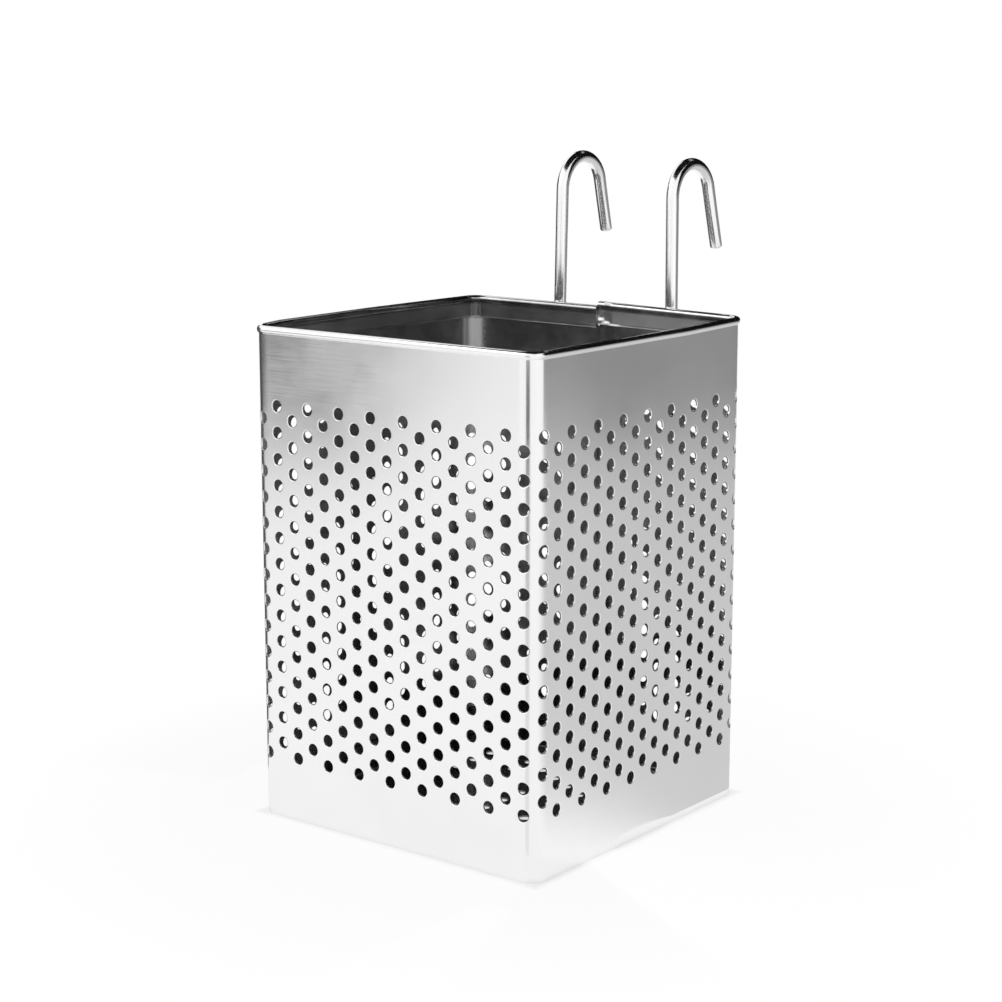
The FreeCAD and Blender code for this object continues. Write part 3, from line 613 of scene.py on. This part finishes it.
def wall_patches(wall):
    """The whole sheet: hole cells, the plain bands about them, both seam ends, the rim and the cut edges."""
    _, _, quarter = wall_quarter(wall)
    columns = hole_columns(wall)
    pitch, step, depth = wall.column_pitch, wall.row_pitch, wall.sheet
    low = wall.first_row - step / 2
    high = low + step * (wall.rows + 0.5)
    tongue_top = wall.height - wall.hem_depth - wall.lap_notch
    rim_start = rim_section(wall)[0][0, 1]
    fine = low + step / CELL_UP * np.arange(CELL_UP * wall.rows + CELL_UP // 2 + 1)
    bottom = np.linspace(0, low, BAND_POINTS)
    top = np.concatenate([np.linspace(high, tongue_top, TOP_POINTS), [rim_start]])
    levels = np.concatenate([bottom, fine[1:], top[1:]])

    holed = np.arange(CELL_ACROSS * len(columns) + 1) * pitch / CELL_ACROSS
    holed = wall.pattern_shift + pitch * (columns[0] - 0.5) + holed
    outer_end = 2 * quarter - wall.seam_shift
    jog_end = outer_end - wall.jog_stand
    inner_end = -2 * quarter - wall.seam_shift + wall.seam_slit
    right = np.concatenate([holed[-1:], np.linspace(jog_end - wall.jog_length, jog_end, JOGGLE_POINTS),
                            [(jog_end + outer_end) / 2, outer_end]])
    left = np.linspace(inner_end, holed[0], BAND_POINTS)
    tongue = np.linspace(outer_end, outer_end + wall.lap_width, BAND_POINTS)
    rim = np.concatenate([left[:-1], holed, right[1:]])

    # Stagger rows fill half a row under the high columns and over the low ones
    fill = np.arange(CELL_UP // 2 + 1)[:, None] * step / CELL_UP
    spread = np.arange(CELL_ACROSS + 1) * pitch / CELL_ACROSS - pitch / 2
    starts = (wall.pattern_shift + columns * pitch)[:, None, None]
    lower = starts[columns % 2 == 1] + spread
    upper = starts[columns % 2 == 0] + spread

    def rows(z):
        return z[:, None]

    faces = hole_cells(wall) + hem(wall, rim)
    tongue_levels = levels[levels < tongue_top + WELD_STEP]
    stretches = (
        (holed, rows(bottom)), (holed, rows(top)),
        (lower, low + fill), (upper, high - step / 2 + fill),
        (left, rows(levels)), (right, rows(levels)), (tongue, rows(tongue_levels)),
    )
    for s, z in stretches:
        faces += plain_face(wall, s, z)

    # Cut edges: foot, tongue and the two ends of the strip
    sides = np.array([-depth, 0.0])
    outer, inner, facings, _ = rim_section(wall)
    line = np.concatenate([np.stack([0 * levels, levels], -1), outer[1:]])
    back = np.concatenate([np.stack([0 * levels - depth, levels], -1), inner[1:]])
    ends = np.stack([back, line], 1)
    curled = ends.copy()
    curl = seam_curl(wall, outer_end, outer[1:, 1]) * (facings[1:, 0] < 0)
    curled[len(levels):, :, 0] += curl[:, None]
    above = np.concatenate([levels >= tongue_top - WELD_STEP, np.ones(len(outer) - 1, bool)])
    faces += [
        patch(np.concatenate([rim, tongue[1:]]), 0.0, rows(sides), along_normal(-UP)),
        patch(tongue, tongue_top, rows(sides), along_normal(UP), flip=True),
        patch(tongue[-1], rows(tongue_levels), sides, along_normal(ROUND), flip=True),
        patch(inner_end, ends[..., 1], ends[..., 0], along_normal(-ROUND)),
        patch(outer_end, curled[above][..., 1], curled[above][..., 0], along_normal(ROUND), flip=True),
    ]
    return faces


class DRAINER_OT_wall_sheet(bpy.types.Operator):
    """Build the perforated wall sheet with its rolled rim and lapped seam"""

    bl_idname = "drainer.wall_sheet"
    bl_label = "Wall Sheet"

    def execute(self, context):
        wall = context.scene.drainer_wall
        patches = wall_patches(wall)
        points, quads, normals, uv, shares = joined(patches)
        facings = wall_normal(wall, points[quads], normals)
        piece = new_object("perforated_wall", wall_point(wall, points), quads, uv=uv,
                           normals=facings, attributes=shares)
        dress(piece, satin_steel("satin_wall", context.scene.drainer_finish, follows_sheet=True))
        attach(piece, BODY)
        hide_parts("wall_sheet")
        return {"FINISHED"}


# Hooks


def hook_line(hook, proud, rise, leg):
    """The wire's centre line as (back, up) points with the run along it: foot, joggle, shank, bend and leg.

    The joggle is a smooth step, the bend an arc, and the points crowd towards the rounded ends.
    """
    near = hook.wire_diameter / 2
    far = near + proud + hook.rim_clearance
    jog_low = -hook.jog_top - hook.jog_length
    jog = np.linspace(0, 1, JOG_POINTS)[1:]
    bend = np.linspace(math.pi, math.pi - hook.turn, CROOK_POINTS)[1:]
    fall = np.array([np.sin(bend[-1]), -np.cos(bend[-1])])
    tip = hook.tip_round * (1 - np.cos(np.linspace(0, math.pi / 2, TIP_POINTS)))
    climb = np.linspace(-hook.jog_top, rise, SHANK_POINTS)[1:]
    straight = np.linspace(0, leg - hook.tip_round, LEG_POINTS)[1:]
    start = np.stack([np.full_like(tip, near), -hook.foot + tip], -1)
    joggle = np.stack([near + (far - near) * smooth(jog), jog_low + hook.jog_length * jog], -1)
    shank = np.stack([np.full_like(climb, far), climb], -1)
    crook = np.stack([far + hook.bend_radius * (1 + np.cos(bend)),
                      rise + hook.bend_radius * np.sin(bend)], -1)
    free = crook[-1] + np.concatenate([straight, leg - tip[::-1][1:]])[:, None] * fall
    points = np.concatenate([start, [[near, jog_low]], joggle, shank, crook, free])
    run = np.concatenate([[0], np.cumsum(np.linalg.norm(np.diff(points, axis=0), axis=1))])
    return points, run


def wire_radius(hook, run):
    """The wire's radius along its length: full, but rounded off on a quarter circle at both cut ends."""
    inside = np.minimum(run, run[-1] - run)
    tip = hook.tip_round
    dip = tip - np.sqrt(np.clip(tip ** 2 - np.clip(tip - inside, 0, None) ** 2, 0, None))
    return hook.wire_diameter / 2 - dip


def hook_place(wall, hook, points, side, lean):
    """Points of a hook's own frame turned by its lean about the rim's level and set on the back wall."""
    across = hook.shift + side * hook.spacing / 2
    x = points[..., 0] * math.cos(lean) + points[..., 2] * math.sin(lean)
    z = points[..., 2] * math.cos(lean) - points[..., 0] * math.sin(lean)
    return np.stack([across + x, wall.side / 2 + points[..., 1], wall.height + z], -1)


def wire_tube(hook, line, run):
    """A circle of the wire's radius carried along the line, closed by a flat face at each end."""
    ahead = unit(np.gradient(line, axis=0))
    radius = wire_radius(hook, run)[:, None, None]
    turn = 2 * math.pi * np.arange(WIRE_AROUND) / WIRE_AROUND
    side = np.array([1.0, 0, 0])
    lift = np.stack([0 * run, ahead[:, 1], -ahead[:, 0]], -1)[:, None]
    ring = radius * (np.cos(turn)[None, :, None] * side + np.sin(turn)[None, :, None] * lift)
    points = np.concatenate([0 * line[:, :1], line], -1)[:, None] + ring
    index = np.arange(len(line) * WIRE_AROUND).reshape(len(line), WIRE_AROUND)
    girth = np.linspace(0, math.pi * hook.wire_diameter, WIRE_AROUND + 1)
    uv = np.stack(np.broadcast_arrays(girth[None], run[:, None]), -1)
    corners = np.stack([uv[:-1, :-1], uv[:-1, 1:], uv[1:, 1:], uv[1:, :-1]], 2).reshape(-1, 2)
    caps = [index[0, ::-1], index[-1]]
    cap_uv = np.zeros((2 * WIRE_AROUND, 2))
    faces = list(grid_quads(closed_grid(index))) + caps
    return points.reshape(-1, 3), faces, np.concatenate([corners, cap_uv])


def hook_hands(hook):
    """Each hook's name, its side, the rise of its bend, the length of its free leg, and its lean."""
    return (("left", -1, hook.left_rise, hook.left_leg, hook.left_lean),
            ("right", 1, hook.right_rise, hook.right_leg, hook.right_lean))


class DRAINER_OT_hooks(bpy.types.Operator):
    """Build the two polished wire hooks behind the rim"""

    bl_idname = "drainer.hooks"
    bl_label = "Wire Hooks"

    def execute(self, context):
        wall, hook = context.scene.drainer_wall, context.scene.drainer_hook
        polish = polished_wire("polished_wire", context.scene.drainer_finish)
        for hand, side, rise, leg, lean in hook_hands(hook):
            line, run = hook_line(hook, wall.bead_proud, rise, leg)
            points, faces, uv = wire_tube(hook, line, run)
            points = hook_place(wall, hook, points, side, lean)
            piece = new_object(f"wire_hook_{hand}", points, faces, uv=uv)
            dress(piece, polish)
            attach(piece, BODY)
            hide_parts(f"hook_{hand}")
        return {"FINISHED"}


def weld_beads(wall, hook, side, lean):
    """Four rippled half ellipsoids beside a wire's foot.

    In angles a round the bead and b from its wall, a point is (w cos a cos b, h sin b, l sin a cos b).
    The first two parts are swelled by 1 plus a cosine wave along the bead that dies out towards its crown.
    """
    a = 2 * math.pi * np.arange(WELD_AROUND) / WELD_AROUND
    b = np.linspace(0, math.pi / 2, WELD_UP, endpoint=False)[:, None]
    along = np.sin(a) * np.cos(b)
    ripple = 1 + RIPPLE_SHARE * np.cos(RIPPLE_WAVE * along) * np.cos(b)
    shape = np.stack([
        hook.weld_width / 2 * np.cos(a) * np.cos(b) * ripple,
        hook.weld_height * np.broadcast_to(np.sin(b), along.shape) * ripple,
        hook.weld_length / 2 * along,
    ], -1)
    index = np.arange(along.size).reshape(along.shape)
    bead_faces = list(grid_quads(closed_grid(index).T)) + [index[0], index[-1, ::-1]]
    seat = hook.weld_seat * hook.wire_diameter / 2
    inset = hook.weld_length / 2 + hook.weld_margin
    heights = (-hook.foot + inset, -hook.jog_top - hook.jog_length - inset)
    places = np.array([[x, 0, z] for z in heights for x in (-seat, seat)])
    points = shape.reshape(1, -1, 3) + places[:, None]
    faces = [face + bead * index.size for bead in range(len(places)) for face in bead_faces]
    return hook_place(wall, hook, points.reshape(-1, 3), side, lean), faces


class DRAINER_OT_welds(bpy.types.Operator):
    """Build the rippled tack welds and finish the hidden spot welds"""

    bl_idname = "drainer.welds"
    bl_label = "Welds"

    def execute(self, context):
        wall, hook = context.scene.drainer_wall, context.scene.drainer_hook
        metal = weld_metal("weld_metal", context.scene.drainer_finish)
        for hand, side, _, _, lean in hook_hands(hook):
            points, faces = weld_beads(wall, hook, side, lean)
            piece = new_object(f"tack_welds_{hand}", points, faces)
            dress(piece, metal)
            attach(piece, BODY)
            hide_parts(f"hook_{hand}_welds")
        for node in ("seam_spot_welds", "base_spot_welds"):
            dress(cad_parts[node], metal)
        return {"FINISHED"}


class DRAINER_OT_base_pan(bpy.types.Operator):
    """Finish the drained floor pan, its colour painted dark as shade"""

    bl_idname = "drainer.base_pan"
    bl_label = "Floor Pan"

    def execute(self, context):
        dress(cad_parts["base_pan"], satin_steel("shaded_satin_pan", context.scene.drainer_finish))
        return {"FINISHED"}


# Finishes

# Patterns of the finishes: waves per metre along each coordinate, octaves and their harshness, then what the
# pattern gives at least and at most, and the values of the noise at which it gives them
Pattern = namedtuple("Pattern", "stretch octaves harshness least most start end", defaults=(0.3, 0.7))
GRAIN = Pattern((60, 4200, 4200), 2, 0.5, -0.02, 0.02)
CLOUD = Pattern((28, 28, 28), 4, 0.6, -0.03, 0.03)
SCRATCH = Pattern((40, 900, 900), 5, 0.7, 0, 0.025, 0.6, 0.75)
# Breaks up the painted shade on the sheet
SHADE_NOISE = Pattern((90, 90, 90), 3, 0.6, 0.8, 1.15, 0.35, 0.65)
DRAWING = Pattern((6000, 40, 40), 2, 0.5, -0.02, 0.03)
SMEAR = Pattern((220, 90, 90), 3, 0.5, -0.03, 0.04)
MOTTLE = Pattern((900, 900, 900), 4, 0.5, -0.1, 0.1)
HEAT = Pattern((260, 260, 260), 2, 0.5, 0, 0.7)

# Bumps: strength and depth
FINE_BUMP = (0.02, 0.01 * MM)
WELD_BUMP = (0.4, 0.05 * MM)

# Tones of the pan's darker and lighter clouds, as shares of the painted shade colour, and of smears on the
# wire, as a share of its colour
PAN_SHARES = (0.85, 1.1)
SMEAR_SHARE = 0.97


def new_material(name):
    """A material with its nodes and its main shader."""
    material = bpy.data.materials.new(name)
    material.use_nodes = True
    tree = material.node_tree
    return material, tree, tree.nodes["Principled BSDF"]


def add(tree, kind, links=(), **values):
    """A node with its sockets set by number or name, and links into it given as (socket, output)."""
    node = tree.nodes.new(kind)
    for key, value in values.items():
        setattr(node, key, value)
    for key, source in links:
        named = [entry for entry in node.inputs if key in (entry.identifier, entry.name)]
        socket = node.inputs[key] if isinstance(key, int) else named[0]
        if hasattr(source, "is_output"):
            tree.links.new(source, socket)
        else:
            socket.default_value = source
    return node


def remap(tree, value, low, high, start=0.3, end=0.7):
    """A value from start to end carried over to low to high."""
    return add(tree, "ShaderNodeMapRange", [("Value", value), ("From Min", start), ("From Max", end),
                                            ("To Min", low), ("To Max", high)]).outputs[0]


def noise(tree, place, pattern):
    """A pattern's noise over a place, and the same carried over to what the pattern gives."""
    mapping = add(tree, "ShaderNodeMapping", [("Vector", place), ("Scale", pattern.stretch)])
    waves = add(tree, "ShaderNodeTexNoise", [
        ("Vector", mapping.outputs[0]), ("Scale", 1.0), ("Detail", pattern.octaves),
        ("Roughness", pattern.harshness)]).outputs["Fac"]
    return waves, remap(tree, waves, pattern.least, pattern.most, pattern.start, pattern.end)


def total(tree, kind, first, *others):
    """A sum, product or the like of several values, taken from the left."""
    for other in others:
        first = add(tree, "ShaderNodeMath", [(0, first), (1, other)], operation=kind).outputs[0]
    return first


def blend(tree, factor, first, second):
    """A colour between two others, each a colour or another node's output."""
    mix = add(tree, "ShaderNodeMix", [("Factor_Float", factor)], data_type="RGBA")
    for socket, value in (("A_Color", first), ("B_Color", second)):
        socket = next(entry for entry in mix.inputs if entry.identifier == socket)
        if hasattr(value, "is_output"):
            tree.links.new(value, socket)
        else:
            socket.default_value = (*value, 1)
    return next(entry for entry in mix.outputs if entry.identifier == "Result_Color")


def finish_metal(tree, shader, tint, rough, relief, strength, depth):
    """Link a metal's colour, its roughness and a bump of its relief to its shader."""
    bump = add(tree, "ShaderNodeBump", [("Height", relief), ("Strength", strength), ("Distance", depth)])
    for key, source in (("Base Color", tint), ("Roughness", rough), ("Normal", bump.outputs[0])):
        tree.links.new(source, shader.inputs[key])
    shader.inputs["Metallic"].default_value = 1.0


def satin_steel(name, finish, follows_sheet=False):
    """Satin stainless: a rolled grain along the sheet, cloudy dullness, fine scratches and polished edges.

    On the sheet a dark colour painted as shade comes in by its shade share, broken up by noise; elsewhere,
    as on the floor pan, the colour is that painted shade throughout, in darker and lighter clouds.
    """
    material, tree, shader = new_material(name)
    if follows_sheet:
        place = add(tree, "ShaderNodeUVMap", uv_map="UVMap").outputs[0]
    else:
        place = add(tree, "ShaderNodeTexCoord").outputs["Object"]
    grain, grain_rough = noise(tree, place, GRAIN)
    cloud, cloud_rough = noise(tree, place, CLOUD)
    _, scratch_rough = noise(tree, place, SCRATCH)
    rough = total(tree, "ADD", finish.sheet_roughness, grain_rough, cloud_rough, scratch_rough)
    clouded = remap(tree, cloud, 0.0, 1.0)
    if follows_sheet:
        wear, painted_shade, peel = (add(tree, "ShaderNodeAttribute", attribute_name=key).outputs["Fac"]
                            for key in SHEET_SHARES)
        rough = total(tree, "SUBTRACT", rough, total(tree, "MULTIPLY", wear, finish.wear_smoother))
        rough = total(tree, "ADD", rough, total(tree, "MULTIPLY", peel, finish.bend_rougher))
        _, shade_noise = noise(tree, place, SHADE_NOISE)
        tint = blend(tree, clouded, finish.sheet_dull, finish.sheet_colour)
        # Painted shade: the dark shade colour comes in by the shade share, broken up by noise
        tint = blend(tree, total(tree, "MULTIPLY", painted_shade, shade_noise), tint, finish.painted_shade_colour)
    else:
        # The floor pan is painted shade throughout, in darker and lighter clouds
        tint = blend(tree, clouded, *(np.array(finish.painted_shade_colour) * part for part in PAN_SHARES))
    finish_metal(tree, shader, tint, rough, grain, *FINE_BUMP)
    return material


def polished_wire(name, finish):
    """Polished stainless wire: faint drawing lines along it and slight smears."""
    material, tree, shader = new_material(name)
    place = add(tree, "ShaderNodeUVMap", uv_map="UVMap").outputs[0]
    lines, lines_rough = noise(tree, place, DRAWING)
    smear, smear_rough = noise(tree, place, SMEAR)
    rough = total(tree, "ADD", finish.wire_roughness, lines_rough, smear_rough)
    dull_and_shade = np.array(finish.wire_colour) * SMEAR_SHARE
    tint = blend(tree, remap(tree, smear, 0.0, 1.0), dull_and_shade, finish.wire_colour)
    finish_metal(tree, shader, tint, rough, lines, *FINE_BUMP)
    return material


def weld_metal(name, finish):
    """Weld metal: mottled grey with straw heat tint, rough and slightly pitted."""
    material, tree, shader = new_material(name)
    place = add(tree, "ShaderNodeTexCoord").outputs["Object"]
    mottle, mottle_rough = noise(tree, place, MOTTLE)
    _, heat = noise(tree, place, HEAT)
    rough = total(tree, "ADD", finish.weld_roughness, mottle_rough)
    tint = blend(tree, heat, finish.weld_colour, finish.tint_colour)
    finish_metal(tree, shader, tint, rough, mottle, *WELD_BUMP)
    return material


# Stage

# Cards that the metal mirrors: a line of (radius, height, tone) in metres, carried round from a first turn to
# a last, in degrees to the right of the front, with the tone coming in from white over the turns of its fade.
# A card is bent about the basket's middle, or about the corner that lies to the sides given.
Card = namedtuple("Card", "name line first last fade corner", defaults=(1, (0, 0)))
LOW = 2 * MM
BLACK = 0.005
CARD_POINTS = 49
CARDS = (
    Card("back_card", ((1.25, 0.17, BLACK), (1.25, 1.3, BLACK)), 100, 222),
    Card("right_card", ((0.8, LOW, 0.26), (1.2, LOW, 0.26), (1.2, 0.2, 0.26)), 106, 178, 6),
    Card("middle_right_card", ((0.42, LOW, 0.61), (0.7, LOW, 0.57), (0.8, LOW, 0.26)), 100, 178, 45),
    Card("near_right_card", ((0.055, LOW, 0.66), (0.3, LOW, 0.63), (0.42, LOW, 0.61)), 62, 178, 62),
    Card("left_card", ((0.6, LOW, 0.97), (0.7, LOW, 0.8), (0.78, LOW, 0.4), (0.86, LOW, 0.02),
                       (1.2, LOW, 0.02), (1.2, 0.06, 0.02)), -66, -38.3),
    Card("far_left_card", ((0.09, LOW, 0.08), (1.2, LOW, 0.08), (1.2, 0.6, 0.08)), -125, -66),
    Card("front_card", ((0.02, LOW, 0.85), (0.3, LOW, 0.75), (0.5, LOW, 0.5), (0.54, LOW, 0.03),
                        (0.54, 0.09, 0.03)), -2, 23, corner=(1, -1)),
)
TOP_CARD_MIDDLE = (0, 0.2, 1.25)
TOP_CARD_HALF = 0.9

# Soft lamps: turn and rise in degrees, distance and side in metres, and power in watts
Lamp = namedtuple("Lamp", "name turn rise away side power")
LAMPS = (Lamp("key_lamp", -35, 40, 1.2, 0.8, 2), Lamp("fill_lamp", 75, 5, 1.3, 0.8, 0.15))

WHITE = (1, 1, 1, 1)
SQUARE = np.array([[-1, -1, 0], [1, -1, 0], [1, 1, 0], [-1, 1, 0]], float)
SENSOR_WIDTH = 36
CLIP_START = 10 * MM


def white_floor(stage, half_side):
    """A pale floor that the camera and the metal see as white, but for the soft shadow near the object."""
    material, tree, shader = new_material("pale_floor")
    shader.inputs["Base Color"].default_value = (*stage.floor_colour, 1)
    shader.inputs["Roughness"].default_value = stage.floor_roughness
    path = add(tree, "ShaderNodeLightPath").outputs
    seen = total(tree, "MAXIMUM", *(path[f"Is {kind} Ray"] for kind in ("Camera", "Glossy", "Transmission")))
    place = add(tree, "ShaderNodeTexCoord").outputs["Object"]
    away = add(tree, "ShaderNodeVectorMath", [(0, place)], operation="LENGTH").outputs["Value"]
    beside = add(tree, "ShaderNodeSeparateXYZ", [(0, place)]).outputs
    beside = total(tree, "MAXIMUM", *(total(tree, "ABSOLUTE", part, 0.0) for part in beside[:2]))
    shadow = remap(tree, away, stage.shadow_white, 1.0, stage.shadow_start, stage.shadow_end)
    contact = remap(tree, beside, stage.contact_white, 1.0, half_side, half_side + stage.contact_line)
    white = add(tree, "ShaderNodeEmission", [("Color", WHITE), ("Strength", 1.0)])
    mix = add(tree, "ShaderNodeMixShader", [(0, total(tree, "MULTIPLY", seen, shadow, contact)),
                                            (1, shader.outputs[0]), (2, white.outputs[0])])
    tree.links.new(mix.outputs[0], tree.nodes["Material Output"].inputs["Surface"])
    return material


def card_tone(name):
    """A card that glows in the greys of its own tone attribute, as light for the metal to mirror."""
    material, tree, _ = new_material(name)
    tone = add(tree, "ShaderNodeAttribute", attribute_name="tone").outputs["Fac"]
    glow = add(tree, "ShaderNodeEmission", [("Color", WHITE), ("Strength", tone)])
    tree.links.new(glow.outputs[0], tree.nodes["Material Output"].inputs["Surface"])
    return material


def stage_card(name, points, faces, tones):
    """A card that the metal mirrors and the camera doesn't see."""
    card = new_object(name, points, faces, attributes={"tone": tones})
    dress(card, card_tone(f"{name}_tone"))
    card.visible_camera = False


def curved_card(card, corner):
    """A card's line carried round a range of turns about the basket's middle or a corner of it.

    The tone comes in from white over the first turns, as 1 + (tone - 1) times a smooth step.
    """
    degrees = np.linspace(card.first, card.last, CARD_POINTS)
    turn = np.radians(degrees)
    radius, height, tone = np.array(card.line, float).T[..., None]
    across = card.corner[0] * corner + radius * np.sin(turn)
    back = card.corner[1] * corner - radius * np.cos(turn)
    points = np.stack(np.broadcast_arrays(across, back, height), -1)
    tones = 1 + (tone - 1) * smooth((degrees - card.first) / card.fade)
    index = np.arange(tones.size).reshape(tones.shape)
    stage_card(card.name, points.reshape(-1, 3), grid_quads(index), tones.ravel())


def aimed(name, data, aim, turn, rise, away):
    """A lamp or camera that faces its aim from a distance, at a turn to the right and a rise."""
    back = Vector((math.sin(turn) * math.cos(rise), -math.cos(turn) * math.cos(rise), math.sin(rise)))
    holder = bpy.data.objects.new(name, data)
    bpy.context.scene.collection.objects.link(holder)
    holder.location = aim + back * away
    holder.rotation_mode = "QUATERNION"
    holder.rotation_quaternion = (-back).to_track_quat("-Z", "Y")
    return holder


def soft_lamp(lamp, aim_height):
    """A square soft lamp that faces the object's middle."""
    light = bpy.data.lights.new(lamp.name, "AREA")
    light.shape = "SQUARE"
    light.size = lamp.side
    light.energy = lamp.power
    aim = Vector((0, 0, aim_height))
    aimed(lamp.name, light, aim, math.radians(lamp.turn), math.radians(lamp.rise), lamp.away)


def stage_camera(stage):
    """The camera at the photograph's angle: the aim plus the backward direction times the distance."""
    data = bpy.data.cameras.new("photo_camera")
    data.sensor_width = SENSOR_WIDTH
    data.lens = stage.focal_length
    data.clip_start = CLIP_START
    right = Vector((math.cos(stage.azimuth), math.sin(stage.azimuth), 0))
    aim = right * stage.aim_side + Vector((0, 0, stage.aim_height))
    camera = aimed("photo_camera", data, aim, stage.azimuth, stage.elevation, stage.distance)
    bpy.context.scene.camera = camera


class DRAINER_OT_stage(bpy.types.Operator):
    """Set the floor, the white surround, the cards, the lamps and the camera"""

    bl_idname = "drainer.stage"
    bl_label = "Stage"

    def execute(self, context):
        scene, stage, wall = context.scene, context.scene.drainer_stage, context.scene.drainer_wall
        scene.view_settings.view_transform = "Standard"
        world = bpy.data.worlds.new("white_surround")
        world.use_nodes = True
        background = world.node_tree.nodes["Background"]
        background.inputs["Color"].default_value = WHITE
        background.inputs["Strength"].default_value = 1.0
        scene.world = world
        floor = new_object("floor", stage.floor_size * SQUARE, [[0, 1, 2, 3]])
        dress(floor, white_floor(stage, wall.side / 2))
        for card in CARDS:
            curved_card(card, (wall.side - wall.corner_radius) / 2)
        top = np.array(TOP_CARD_MIDDLE) + TOP_CARD_HALF * SQUARE
        stage_card("top_card", top, [[0, 3, 2, 1]], np.full(len(top), BLACK))
        for lamp in LAMPS:
            soft_lamp(lamp, stage.lamp_aim)
        stage_camera(stage)
        return {"FINISHED"}


class DRAINER_PT_sidebar(bpy.types.Panel):
    """Lists the drainer's pieces and their settings"""

    bl_idname = "DRAINER_PT_sidebar"
    bl_label = "Utensil Drainer"
    bl_space_type = "VIEW_3D"
    bl_region_type = "UI"
    bl_category = "Drainer"

    def draw(self, context):
        for operator in OPERATORS:
            self.layout.operator(operator.bl_idname)
        for name in SETTINGS:
            group = getattr(context.scene, name)
            column = self.layout.column(heading=name)
            for key in group.__annotations__:
                column.prop(group, key)


OPERATORS = (DRAINER_OT_wall_sheet, DRAINER_OT_base_pan, DRAINER_OT_hooks, DRAINER_OT_welds, DRAINER_OT_stage)
SETTINGS = {"drainer_wall": WallSettings, "drainer_hook": HookSettings,
            "drainer_finish": FinishSettings, "drainer_stage": StageSettings}
CLASSES = (*SETTINGS.values(), *OPERATORS, DRAINER_PT_sidebar)


def register():
    """Make the classes known and give the scene its settings."""
    for item in CLASSES:
        bpy.utils.register_class(item)
    for name, group in SETTINGS.items():
        setattr(bpy.types.Scene, name, PointerProperty(type=group))


def unregister():
    """Take the settings and the classes away again."""
    for name in SETTINGS:
        delattr(bpy.types.Scene, name)
    for item in reversed(CLASSES):
        bpy.utils.unregister_class(item)


def main():
    """Build the pieces and the stage in order."""
    register()
    bpy.ops.drainer.wall_sheet()
    bpy.ops.drainer.base_pan()
    bpy.ops.drainer.hooks()
    bpy.ops.drainer.welds()
    bpy.ops.drainer.stage()


if __name__ == "__main__":
    main()
